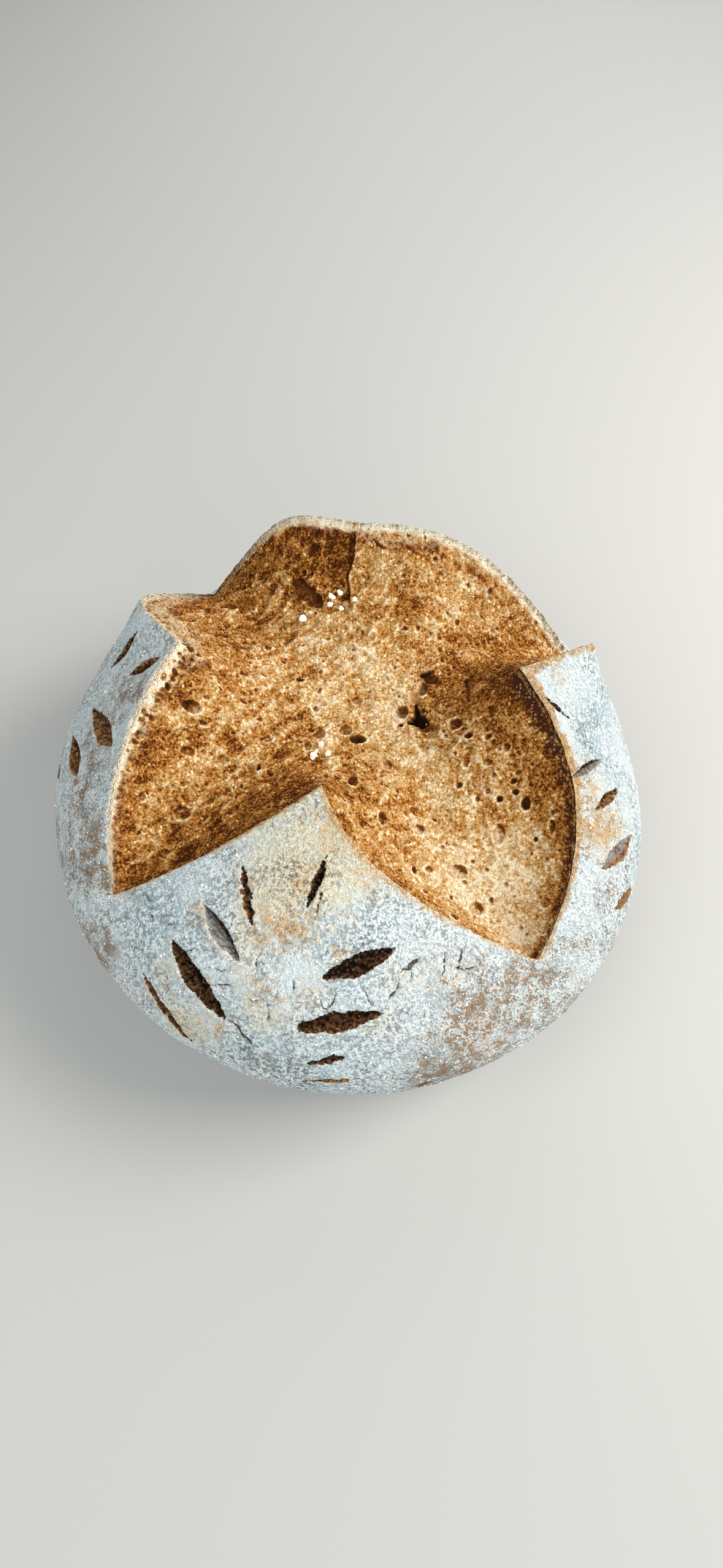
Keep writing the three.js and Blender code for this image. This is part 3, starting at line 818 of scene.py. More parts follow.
def linear(*screen):
    """A colour given as it shows on a screen, 0 to 255, in the linear form that materials use"""
    parts = [part / 255 for part in screen]
    return (*(c / 12.92 if c <= 0.04 else ((c + 0.055) / 1.055) ** 2.4 for c in parts), 1)


def new_group(name, inputs, outputs):
    """A shader group, its inputs, its outputs, and Object coordinates scaled by size and moved by seed"""
    tree = bpy.data.node_groups.new(name, "ShaderNodeTree")
    for label, value in inputs.items():
        socket = tree.interface.new_socket(label, in_out="INPUT", socket_type="NodeSocketFloat")
        socket.default_value = value
    for label in outputs:
        tree.interface.new_socket(label, in_out="OUTPUT", socket_type="NodeSocketFloat")
    start = tree.nodes.new("NodeGroupInput").outputs
    place = look(tree, "ShaderNodeTexCoord", {}, "Object")
    scale = look(tree, "ShaderNodeMath", {0: 1 / MM, 1: start["Size"]}, operation="DIVIDE")
    scaled = look(tree, "ShaderNodeVectorMath", {0: place, "Scale": scale}, operation="SCALE")
    moved = look(tree, "ShaderNodeVectorMath", {0: scaled, 1: start["Seed"]}, operation="ADD")
    return tree, start, tree.nodes.new("NodeGroupOutput"), moved


def make_mottle():
    """Soft patches of a size in millimetres, stretched to run from 0 to 1"""
    tree, start, finish, moved = new_group("mottle", {"Size": 5, "Seed": 0, "Contrast": 1}, ["Value"])
    field = look(tree, "ShaderNodeTexNoise", {"Vector": moved, "Scale": 1, "Detail": 3, "Roughness": 0.6})
    stretch = Look(tree, start["Contrast"]) * 2.2
    set_inputs(tree, finish, {"Value": (field.swing(stretch) + 0.5).ranged(0, 1)})
    return tree


def make_grain():
    """Round grains of a size in millimetres: a tone for each, and their height"""
    tree, _, finish, moved = new_group("grain", {"Size": 1, "Seed": 0}, ["Tone", "Height"])
    cells = add_node(tree, "ShaderNodeTexVoronoi", {"Vector": moved, "Scale": 1}).outputs
    tone = look(tree, "ShaderNodeSeparateColor", {0: cells["Color"]})
    height = Look(tree, cells["Distance"]).ranged(0.1, 0.75, 1, 0)
    set_inputs(tree, finish, {"Tone": tone, "Height": height})
    return tree


def make_crackle():
    """Fine bent lines between cells of a size in millimetres, 1 on a line and 0 off it"""
    tree, _, finish, moved = new_group("crackle", {"Size": 2, "Seed": 0}, ["Line"])
    field = look(tree, "ShaderNodeTexNoise", {"Vector": moved, "Scale": 1.6, "Detail": 2}, "Color")
    sway = look(tree, "ShaderNodeVectorMath", {0: field, "Scale": 0.7}, operation="SCALE")
    bent = look(tree, "ShaderNodeVectorMath", {0: moved, 1: sway}, operation="ADD")
    inputs = {"Vector": bent, "Scale": 1}
    cells = look(tree, "ShaderNodeTexVoronoi", inputs, "Distance", feature="DISTANCE_TO_EDGE")
    set_inputs(tree, finish, {"Line": cells.ranged(0.03, 0.14, 1, 0)})
    return tree


mottle_group = make_mottle()
grain_group = make_grain()
crackle_group = make_crackle()


def mottle(tree, size, seed, contrast):
    inputs = {"Size": size, "Seed": seed, "Contrast": contrast}
    return look(tree, "ShaderNodeGroup", inputs, "Value", node_tree=mottle_group)


def grain(tree, size, seed):
    node = add_node(tree, "ShaderNodeGroup", {"Size": size, "Seed": seed}, node_tree=grain_group)
    return Look(tree, node.outputs["Tone"]), Look(tree, node.outputs["Height"])


def crackle(tree, size, seed):
    return look(tree, "ShaderNodeGroup", {"Size": size, "Seed": seed}, "Line", node_tree=crackle_group)


def new_material(name):
    material = bpy.data.materials.new(name)
    material.use_nodes = True
    return material, material.node_tree


def paint(material, colour, roughness, shine, **more):
    """Sets or links the inputs of the material's surface"""
    inputs = {"Base Color": colour, "Roughness": roughness, "Specular IOR Level": shine, **more}
    tree = material.node_tree
    set_inputs(tree, tree.nodes["Principled BSDF"], inputs)
    return material


CRUMB_BAKE = [
    (0.0, linear(232, 212, 180)),
    (0.2, linear(213, 184, 140)),
    (0.4, linear(195, 154, 99)),
    (0.58, linear(178, 124, 60)),
    (0.74, linear(148, 90, 27)),
    (0.88, linear(102, 50, 5)),
    (1.0, linear(68, 30, 3)),
]
PALE_CRUMB = linear(194, 156, 112)
PORE_SHADE = linear(208, 164, 110)
# Painted shade colour of pores, pits, the slit and the torn edge, also the colour of the rim's dark specks
DARK_CRUMB = linear(60, 34, 10)
# Painted shadow at the bottom of the deepest pits
PIT_SHADOW_BLACK = linear(26, 11, 4)
# Charred crumb, also used as painted shade on the walls under the rims, most under the right flap
CHARRED_AND_SHADED = linear(60, 36, 22)
CHARRED_PALE = linear(172, 128, 86)
CUT_CREAM = linear(252, 240, 212)
CUT_TAN_GAP = linear(206, 166, 116)
FLOUR_DUST = linear(200, 180, 148)
GLINT = linear(250, 228, 186)
AMBER_GLINT = linear(214, 158, 84)


def crumb_material():
    material, tree = new_material("crumb")
    fine = mottle(tree, size=0.8, seed=3, contrast=1.2)
    finer = grain(tree, size=0.55, seed=9)[1]
    tone, height = grain(tree, size=0.95, seed=2)
    baked_and_shaded = mark(tree, "bake_and_shade") + fine.swing(0.56)
    glint = tone.ranged(0.78, 0.86) * height.ranged(0.25, 0.55) * baked_and_shaded.ranged(0.85, 0.4, 0.3, 0.85)
    dusted = mark(tree, "dust") * mottle(tree, size=1.1, seed=7, contrast=1.4).ranged(0.32, 0.5)
    cream = mixed(fine.ranged(0.15, 0.4), CUT_TAN_GAP, CUT_CREAM)
    colour = layered(
        ramp(baked_and_shaded, CRUMB_BAKE),
        (glint, mixed(baked_and_shaded.ranged(0.35, 0.65), GLINT, AMBER_GLINT)),
        (dusted.ranged(0, 1, 0, 0.9), FLOUR_DUST),
        (mark(tree, "pale") * 0.7, PALE_CRUMB),
        (mark(tree, "cut_edge").ranged(0.15, 0.5), cream),
    )
    # Painted shade: the dark mark darkens pores, pits, the slit and the torn edge, the char band the walls
    # under the rims
    dark, char_and_shade = mark(tree, "dark"), mark(tree, "char_and_shade")
    ash = tone.ranged(0.74, 0.84) * height.ranged(0.25, 0.6) * char_and_shade.ranged(0.1, 0.6, 0, 0.8)
    colour = layered(
        mixed(dark.ranged(0, 0.55), colour, PORE_SHADE, "MULTIPLY"),
        (dark.ranged(0.3, 1, 0, 0.94), DARK_CRUMB),
        ((char_and_shade + fine.swing(0.9)).ranged(0.4, 1, 0, 0.95), CHARRED_AND_SHADED),
        (ash, CHARRED_PALE),
        (mark(tree, "pit_shadow"), PIT_SHADOW_BLACK),
    )
    relief = bumped(fine * 0.9 + finer * 0.3 + height * 0.7, 0.5)
    return paint(material, colour, fine.ranged(0.2, 0.8, 0.6, 0.85), 0.1, Normal=relief)


crumb.data.materials.append(crumb_material())
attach(crumb, "root")
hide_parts("loaf")

# Crust
# The floured skin of the loaf from the rim down to the foot: a shell of dried dough, white with
# flour, tan where the flour rubbed off, with leaf cuts made by a blade and cracks from the oven.
# Some of its colour is painted light: shade in the flour's gaps and crackle and inside the cuts, and
# highlights on flour clumps, cut lips and the peeled edge.
CUT_SPACING = 0.42
FRONT_SPACING = 0.85
BACK_SPACING = 1.7
# The front is what lies no further back than a share of its distance to the side, and no further
# down than a length past the girth
FRONT_SLANT = 0.4
FRONT_PAST_GIRTH = 12
# How far past the edge of a cut or a crack the points stay close together, for cuts up to a place in Y
CUT_MARGIN = 1.3
CRACK_MARGIN = 0.5
FINE_CUTS_UP_TO = 45
SHELL_DEPTH = 14
FOOT_STATIONS = 240
CUT_FIELD = 3.0
CRACK_DEPTH = 0.5
PROFILE_STEPS = 400
HEART = np.array([0, 0, 30])
# Leaf cuts as directions of their two ends seen from the heart [around, up, around, up] in degrees, then
# the width in millimetres, the tone inside from 0 lit brown to 1 black, browned crust deepened by painted
# shade, how pale the lower lip is, partly as a painted highlight, the share that is grey with flour, from
# the lower side, or where it is negative from the upper side, and how ragged the cut is. A last value over
# 1 puts the widest place past the middle
LEAF_CUTS = [
    [-122, 43, -112, 34, 2.6, 0.6, 0.5, 0, 2.2],
    [-96, 50, -100, 39, 3.0, 1.0, 0.2, 0, 1.2],
    [-96, 43, -97, 38.5, 1.6, 0.6, 0.6, 0, 1.8],
    [-126, 33, -112, 28, 4.4, 0.75, 1.0, 0.6, 0.8],
    [-128, 25, -111, 18, 6.2, 0.8, 0.5, 0, 1.1],
    [-130, 16.5, -116.5, 9, 3.4, 0.55, 0.8, 0, 1.5],
    [-95, 28.5, -77.5, 32, 5.3, 0.9, 0.1, 0, 0.8],
    [-100, 20, -82, 23, 5.3, 0.75, 0.4, 0, 1.8],
    [-96, 14, -89, 16, 2.8, 0.8, 0.1, 0, 1.4],
    [-97, 9.3, -87, 11.2, 2.1, 0.25, 0.1, 0, 1.6],
    [-81, 6, -74, 6.5, 1.5, 0.3, 0.1, 0, 1.6],
    [152, 34, 160, 25, 3.4, 0.6, 0.1, 0, 0.6],
    [160, 43, 163, 33, 5.0, 0.5, 0.1, 0, 0.6],
    [168, 22.5, 183.5, 33.8, 7.8, 0.3, 0.0, 0, 0.8, 1.5],
    [174, 18, 186, 22.5, 7.0, 0.4, 0.0, 0, 0.7, 1.3],
    [175, 9, 182, 13, 5.5, 0.3, 0.0, 0, 0.6],
    [6.5, 43.2, 3.2, 34.2, 2.6, 0.7, 0.2, 0.4, 1.0],
    [-13.5, 35, -3, 25.5, 3.4, 0.45, 0.1, 0.55, 0.7],
    [-17, 27, -8, 21, 3.8, 0.35, 0.1, 0, 0.7],
    [-27, 21, -16, 16, 5.6, 0.2, 0.0, -0.7, 1.4],
    [-31, 14, -23, 10, 4.2, 0.05, 0.0, -0.2, 1.4],
    [60, 32, 70, 24, 4, 0.6, 0.1, 0, 0.8],
    [57, 22, 68, 15, 6, 0.5, 0.1, 0, 0.8],
    [80, 30, 84, 20, 5, 0.6, 0.1, 0, 0.8],
    [105, 30, 97, 22, 5, 0.6, 0.1, 0, 0.8],
    [108, 20, 98, 13, 6, 0.5, 0.1, 0, 0.8],
]
CUT_DEEPEST = 0.45
CUT_DEPTH = 2.0
CUT_LIP = 0.45
CUT_WALL = 0.5
LEAF_FULLNESS = 0.8
# Cracks as directions of their ends, then the width in millimetres
CRACKS = [
    [-141, 25, -137, 26, 0.35], [-137, 26, -134, 24, 0.35], [-131, 25, -130, 27, 0.4],
    [-124, 24, -122, 27, 0.35], [-117, 22, -112, 24, 0.4], [-109, 30.5, -108, 26.5, 0.4],
    [-100, 28, -100, 25, 0.4], [-91, 26, -93, 23.5, 0.5], [-77.5, 28, -71.5, 29, 0.7],
    [-75, 27.5, -76, 26, 0.4], [-78, 26.5, -81.5, 24, 0.45], [-66, 27.5, -68, 26.5, 0.45],
    [-67, 26.5, -69.5, 25, 0.5], [-62, 26.5, -65.5, 24.5, 0.5], [-65.5, 25.5, -64, 24, 0.4],
    [-64, 24.5, -61.5, 23.5, 0.4], [-111, 18.3, -105, 15, 0.9], [-113, 26, -118, 24.5, 0.4],
    [-105, 24, -103, 19, 0.35], [-95, 26, -92, 22, 0.35], [-86, 27, -84, 24, 0.35],
]
# Places where the flour is thin over tan crust, is rubbed off brown crust, or is thick and cream,
# as [around, up, radius in millimetres, amount]
TAN_PATCHES = [
    [-108, 34, 8, 0.42], [-101, 35.5, 7, 0.42], [-125, 31, 5, 0.5], [-90, 34, 6, 0.3], [-90, 54, 8, 0.35],
    [-77, 47, 6, 0.45], [-83, 42, 6, 0.25], [-119, 40, 5, 0.3], [-103, 45, 7, 0.35], [-104, 59, 8, 0.2],
    [-19, 22, 9, 0.6], [-10, 37, 7, 0.5], [-14, 30, 8, 0.45], [14, 40, 7, 0.4], [-24, 27, 8, 0.45],
    [-106, 24, 6, 0.4], [-70, 26, 9, 0.25], [-98, 25, 5, 0.25], [-35, 22, 6, 0.2], [-114, 13, 7, 0.3],
    [-64, 8, 10, 0.3], [-45, 10, 8, 0.3], [-145, 12, 8, 0.3], [-132, 8, 8, 0.2], [-66, 15, 12, 0.35],
    [30, 30, 14, 0.3], [75, 12, 16, 0.3], [130, 20, 12, 0.5], [-117, 22, 5, 0.35], [-112, 17, 6, 0.3],
]
BARE_PATCHES = [
    [-64, 19, 14, 0.55], [-74, 13, 9, 0.4], [-71, 5, 14, 0.5], [-55, 14, 10, 0.4], [-156, 24, 8, 0.55],
    [-157, 17, 8, 0.5], [-150, 20, 7, 0.45], [-146, 23, 6, 0.5], [-140, 13, 7, 0.45], [-168, 22, 8, 0.35],
    [170, 40, 7, 0.3], [172, 35, 7, 0.3], [-105, 12.5, 2.5, 0.4], [-103, 14, 1.5, 0.4], [-48, 17, 8, 0.3],
    [-50, 6, 8, 0.5], [-35, 8, 7, 0.35], [-22, 27, 3, 0.3], [-143, 7, 9, 0.6], [160, 12, 8, 0.4],
    [163, 30, 12, 0.22], [178, 28, 14, 0.25], [-172, 25, 12, 0.3], [-30, 18, 6, 0.35], [-40, 16, 6, 0.35],
    [-120, 22, 3, 0.4], [-117, 20, 3, 0.4], [-165, 10, 10, 0.4], [-124, 18, 3, 0.5], [-127, 13, 4, 0.4],
    [40, 14, 14, 0.45], [95, 8, 14, 0.45], [120, 28, 9, 0.4], [62, 4, 12, 0.45], [140, 6, 12, 0.45],
]
CREAM_PATCHES = [
    [-100, 56, 22, 0.6], [-108, 45, 15, 0.55], [-85, 50, 10, 0.35], [-92, 44, 10, 0.3], [-104, 21, 7, 0.6],
    [-113, 31, 4, 0.4], [-117, 14, 8, 0.6], [-110, 26, 6, 0.5], [-90, 31, 4, 0.4], [-126, 20, 6, 0.5],
    [-121, 12, 7, 0.6], [-96, 26, 7, 0.4], [-84, 20, 7, 0.35], [-5, 38, 12, 0.35], [-20, 22, 12, 0.5],
    [-78, 26, 7, 0.3], [-66, 24, 7, 0.3], [-112, 36, 8, 0.5], [-10, 28, 8, 0.3], [150, 45, 8, 0.3],
    [80, 35, 14, 0.4], [110, 15, 12, 0.4], [50, 28, 12, 0.4],
]
# Places where the flour's colour is mixed towards blue-grey
BLUE_PATCHES = [
    [-132, 29, 14, 0.6], [-124, 42, 9, 0.55], [-136, 22, 12, 0.5], [-97, 33, 8, 0.5], [-86, 36, 9, 0.45],
    [-80, 38, 8, 0.4], [-88, 27, 8, 0.4], [-72, 22, 8, 0.3], [-90, 18, 14, 0.35], [-100, 12, 14, 0.4],
    [-2, 32, 8, 0.6], [4, 28, 11, 0.6], [-8, 24, 9, 0.5], [-18, 12, 12, 0.4], [14, 20, 16, 0.5],
    [155, 30, 10, 0.3], [-120, 33, 6, 0.4], [-105, 15, 12, 0.3], [-80, 12, 14, 0.3],
]
# Loose flakes of crust, as [around, up, radius, height in millimetres]
FLAKES = [[-114, 12, 3.2, 0.5], [-128, 8.5, 2.6, 0.5], [-107, 21, 2.4, 0.35], [-111, 14, 2.2, 0.4]]
# Noise as (size of its lumps, seed, amount)
CRUST_NOISE = ((24, 3.5, 0.55), (9, 13.5, 0.3), (3.2, 23.5, 0.16), (1.7, 33.5, 0.12))
CUT_NOISE = ((2.6, 12.5, 0.45), (1.1, 2.5, 0.4))
LIP_NOISE = ((7, 53.5, 0.5), (2.2, 57.5, 0.35))
WRINKLE_HEIGHT = 0.22
LIP_HEIGHT = 0.18
LIP_GRAIN = 0.25
FOOT_EASE = 6


def make_profile():
    """The length along the dome and flank from the top, for shares and turns of the profile"""
    radius = (HALF_WIDTH + HALF_LENGTH) / 2
    turn = np.linspace(0, math.pi / 2, PROFILE_STEPS)
    share = np.sin(turn)
    dome = np.column_stack([radius * share, dome_height(share)])
    flank_share = FOOT_SHARE + (1 - FOOT_SHARE) * np.cos(turn[1:])
    flank = np.column_stack([radius * flank_share, GIRTH_HEIGHT * (1 - np.sin(turn[1:]))])
    return run_along(np.concatenate([dome, flank])), np.concatenate([share, 1 + turn[1:]])


profile_run, profile_steps = make_profile()
GIRTH_RUN = profile_run[PROFILE_STEPS - 1]
FOOT_RUN = profile_run[-1]


def to_sheet(points):
    """Places of the crust spread out flat: the direction is kept, and the length along the dome"""
    run = np.interp(girth_share(points), profile_steps, profile_run)
    turn = np.arctan2(points[:, 1], points[:, 0])
    return np.column_stack([run * np.cos(turn), run * np.sin(turn)])


def from_sheet(flat):
    """Places of the crust in space, from the spread-out sheet"""
    run = np.hypot(flat[:, 0], flat[:, 1])
    steps = np.interp(run, profile_run, profile_steps)
    turn = np.clip(steps - 1, 0, math.pi / 2)
    share = np.where(steps <= 1, steps, FOOT_SHARE + (1 - FOOT_SHARE) * np.cos(turn))
    direction = flat / np.maximum(run, 1e-9)[:, None]
    girth = 1 / girth_share(direction)
    places = direction * (girth * share)[:, None]
    on_dome = steps <= 1
    height = np.zeros(len(flat))
    height[on_dome] = crust_height(places[on_dome])
    girth_line = (direction * girth[:, None])[~on_dome]
    height[~on_dome] = crust_height(girth_line) * (1 - np.sin(turn[~on_dome]))
    return np.column_stack([places, height])


def make_finder():
    """Points all over the crust and their directions from the heart"""
    flat = lattice((-GIRTH_RUN, -GIRTH_RUN), (GIRTH_RUN, GIRTH_RUN), BACK_SPACING, 2)
    flat = flat[np.hypot(flat[:, 0], flat[:, 1]) < GIRTH_RUN]
    points = from_sheet(flat)
    offset = points - HEART
    return points, offset / np.linalg.norm(offset, axis=1, keepdims=True)


found_points, found_directions = make_finder()


def on_crust(around, up):
    """The point of the crust in a given direction from the heart"""
    turn, rise = math.radians(around), math.radians(up)
    level = math.cos(rise)
    direction = np.array([level * math.cos(turn), level * math.sin(turn), math.sin(rise)])
    best = np.argmax(found_directions @ direction)
    return HEART + direction * np.linalg.norm(found_points[best] - HEART)


class Leaf:
    """A cut or crack along a straight line in the crust"""

    def __init__(self, around0, up0, around1, up1, width, skew=1.0):
        self.skew = skew
        self.start, self.finish = on_crust(around0, up0), on_crust(around1, up1)
        self.middle = on_crust((around0 + around1) / 2, (up0 + up1) / 2)
        self.half_length = np.linalg.norm(self.finish - self.start) / 2
        self.width = width
        self.along = (self.finish - self.start) / (2 * self.half_length)
        outward = self.middle - HEART
        outward = outward - self.along * (outward @ self.along)
        self.side = np.cross(outward / np.linalg.norm(outward), self.along)

    def near(self, points, margin):
        reach = self.half_length + margin
        return np.flatnonzero(((points - self.middle) ** 2).sum(axis=1) < reach**2)

    def place(self, points):
        """The share along the line from -1 to 1, and the distance to one side of it"""
        offset = points - self.middle
        return offset @ self.along / self.half_length, offset @ self.side

    def half_width(self, t):
        inside = np.clip((t + 1) / 2, 0, 1) ** self.skew
        return self.width / 2 * np.sin(math.pi * inside) ** LEAF_FULLNESS

    def past(self, t, s):
        """The distance past the leaf's edge, less than 0 inside it"""
        beyond = np.maximum(abs(t) - 1, 0) * self.half_length
        return np.hypot(s, beyond) - self.half_width(t)


leaf_cuts = [(Leaf(*row[:5], *row[9:]), *row[5:9]) for row in LEAF_CUTS]
cracks = [Leaf(*row) for row in CRACKS]


def crust_spacing(flat):
    """How close together the crust's points are wanted: closest round the cuts, widest at the back"""
    from_top = np.hypot(flat[:, 0], flat[:, 1])
    front = (flat[:, 1] < FRONT_SLANT * abs(flat[:, 0])) & (from_top < GIRTH_RUN + FRONT_PAST_GIRTH)
    spacing = np.where(front, FRONT_SPACING, BACK_SPACING)
    lines = [(leaf, CUT_MARGIN) for leaf, *_ in leaf_cuts if leaf.middle[1] < FINE_CUTS_UP_TO]
    for leaf, margin in lines + [(leaf, CRACK_MARGIN) for leaf in cracks]:
        away = from_line(flat, *to_sheet(np.array([leaf.start, leaf.finish])))[1]
        spacing[away < leaf.width / 2 + margin] = CUT_SPACING
    return spacing


def cut_form(points):
    """The lift and the marks that cuts, cracks and flakes give the crust"""
    lift, dark, grey, shine = np.zeros((4, len(points)))
    cut, crack = np.full((2, len(points)), -CUT_FIELD)
    wavy = rough(points, CUT_NOISE)
    lumpy = noise_at(points, 1.3, 22.5)
    for leaf, tone, pale, floured, ragged in leaf_cuts:
        near = leaf.near(points, 4)
        t, s = leaf.place(points[near])
        half = leaf.half_width(t)
        past = leaf.past(t, s) + ragged * wavy[near]
        across = np.clip(s / np.maximum(half, 0.3), -1, 1)
        walls = np.minimum((across + 1) / (1 + CUT_DEEPEST), (1 - across) / (1 - CUT_DEEPEST))
        hollow = smooth(walls) * smooth(-past / CUT_WALL)
        deep = CUT_DEPTH * min(1, leaf.width / 4) * np.sqrt(2 * half / leaf.width)
        lower = smooth(0.5 - s / (0.3 * leaf.width))
        edge = np.clip(0.7 + lumpy[near], 0.1, 1.3)
        lift[near] += hollow * (0.35 * lumpy[near] - deep)
        lift[near] += CUT_LIP * (0.3 + pale * lower) * edge * hill(past, 0.7, 0.8)
        dusted = smooth((2 * abs(floured) - 1 - np.sign(floured) * across) / 0.35 + 0.5) * (floured != 0)
        # Inside the cut: browned crust with painted shade, darker towards one wall
        dark[near] = np.where(past < 1, tone + 0.25 * across, dark[near])
        grey[near] = np.where(past < 1, dusted, grey[near])
        raise_to(cut, near, -past)
        # The lower lip's pale edge, partly a painted highlight
        raise_to(shine, near, pale * lower * edge * hill(np.maximum(past - 0.3, 0), 0, 0.9))
    for leaf in cracks:
        near = leaf.near(points, 2)
        t, s = leaf.place(points[near])
        past = leaf.past(t, s + 1.4 * wavy[near])
        lift[near] -= CRACK_DEPTH * smooth(0.6 - past / 0.6)
        raise_to(crack, near, -past)
    for around, up, radius, height in FLAKES:
        away = np.linalg.norm(points - on_crust(around, up), axis=1) + 1.5 * wavy
        lift += height * smooth(1.4 - away / radius)
    return lift, {"cut_dark": dark, "cut_grey": grey, "lip_pale_and_lit": shine, "cut": cut, "crack": crack}


def patch_sum(points, patches):
    """How much each point lies in the patches"""
    total = np.zeros(len(points))
    for around, up, radius, amount in patches:
        total += amount * hill(np.linalg.norm(points - on_crust(around, up), axis=1), 0, radius)
    return total


edge_tree = tree_of(rim)


def crust_relief(points):
    """The crust's lift along its normal and the marks that its material reads"""
    x, y, z = points.T
    station, away = nearest(edge_tree, points)
    lip, tan = rim_looks["lip"][station], rim_looks["tan"][station]
    lift, marks = cut_form(points)
    wrinkles = noise_at(points * [1, 0.22, 1], 3.2, 43.5) * smooth((x - 62) / 12) * smooth((30 - y) / 15)
    lift += rough(points, CRUST_NOISE) + WRINKLE_HEIGHT * wrinkles + LIP_HEIGHT * hill(away, 1.2, lip)
    edge = smooth((lip * (1 + rough(points, LIP_NOISE)) - away) / (0.8 + 0.4 * lip) + 0.5)
    lift = (lift + LIP_GRAIN * edge * noise_at(points, 1.5, 63.5)) * smooth(away / 0.8)
    # How gappy the flour is: partly worn flour and partly painted shade between its clumps
    worn_and_shaded = 0.38 + 0.34 * smooth((64 - z) / 22) - 0.26 * smooth((26 - z) / 14) - 0.1 * smooth((y - 20) / 30)
    worn_and_shaded += 0.6 * noise_at(points, 13, 73.5) - 0.4 * edge
    marks["worn_and_shaded"] = worn_and_shaded - 0.3 * smooth((x - 55) / 10) * smooth((y + 35) / 15)
    marks["tan"] = patch_sum(points, TAN_PATCHES) + 0.4 * edge * tan
    marks["cream"] = patch_sum(points, CREAM_PATCHES) + edge * (1 - tan)
    # The peeled edge, cream, brightened further as a painted highlight
    marks["peel_and_lit"] = edge * (1 - tan) * np.clip(0.85 + 0.5 * noise_at(points, 2.2, 83.5), 0.2, 1)
    marks["blue"] = patch_sum(points, BLUE_PATCHES) * (1 - edge)
    marks["bare"] = patch_sum(points, BARE_PATCHES)
    marks["rim"] = edge * tan
    grains = np.clip(0.5 + noise_at(points, 9, 93.5), 0.15, 1) * smooth((away - 0.5) / 2)
    marks["grains"] = grains * (marks["cut"] < -0.5)
    return lift, marks


def crust_places():
    """Places of the sheet: the rim line, then the crust's points, then the foot line"""
    size = FOOT_RUN + 1
    edge = to_sheet(rim_line)
    spacings = (CUT_SPACING, FRONT_SPACING, BACK_SPACING)
    inner = graded((-size, -size), (size, size), spacings, crust_spacing, 21)
    inner = inner[np.hypot(inner[:, 0], inner[:, 1]) < FOOT_RUN - BACK_SPACING / 2]
    turn = np.arange(FOOT_STATIONS) / FOOT_STATIONS * 2 * math.pi
    foot = FOOT_RUN * np.column_stack([np.cos(turn), np.sin(turn)])
    return np.concatenate([edge, clear_of(inner, edge, FROM_RIM), foot])


def make_crust():
    flat = crust_places()
    triangles = triangles_of(flat)[1]
    points = from_sheet(flat)
    points[:RIM_POINTS] = rim_line
    lift, marks = crust_relief(points)
    points = lifted(points, triangles, lift * smooth(points[:, 2] / FOOT_EASE))
    foot = np.arange(len(flat) - FOOT_STATIONS, len(flat))
    fan = np.column_stack([np.full(FOOT_STATIONS, len(flat)), foot, np.roll(foot, 1)])
    points = np.concatenate([points, [[0, 0, 0]]])
    return closed_object("crust", points, np.concatenate([triangles, fan]), marks, SHELL_DEPTH, 1)


crust = make_crust()

FLOUR = linear(230, 240, 240)
# Partly whiter flour and partly painted highlight on its clumps
FLOUR_WHITE = linear(248, 254, 252)
FLOUR_BLUE = linear(180, 201, 208)
FLOUR_CREAM = linear(255, 238, 212)
# Partly crust between flour clumps and partly painted shade in the gaps and the crackle
FLOUR_GAP = linear(128, 116, 102)
# The peeled edge's cream, brightened as a painted highlight
PEELED_AND_LIT = linear(255, 242, 214)
PEEL_GAP = linear(206, 162, 112)
CRUST_TAN = linear(242, 202, 160)
CRUST_BROWN = linear(162, 116, 54)
CRUST_DARK = linear(110, 70, 28)
CUT_TAN = linear(182, 132, 82)
CUT_BROWN = linear(108, 70, 40)
# The darkest inside a cut, browned crust in painted shade, and the colour of the cracks
CUT_DARK = linear(22, 11, 6)
CUT_SPECK = linear(136, 104, 74)
CUT_GREY = linear(172, 172, 168)
RIM_TAN = linear(228, 192, 136)
RIM_BROWN = linear(182, 130, 72)
RIM_PIT = linear(130, 90, 50)


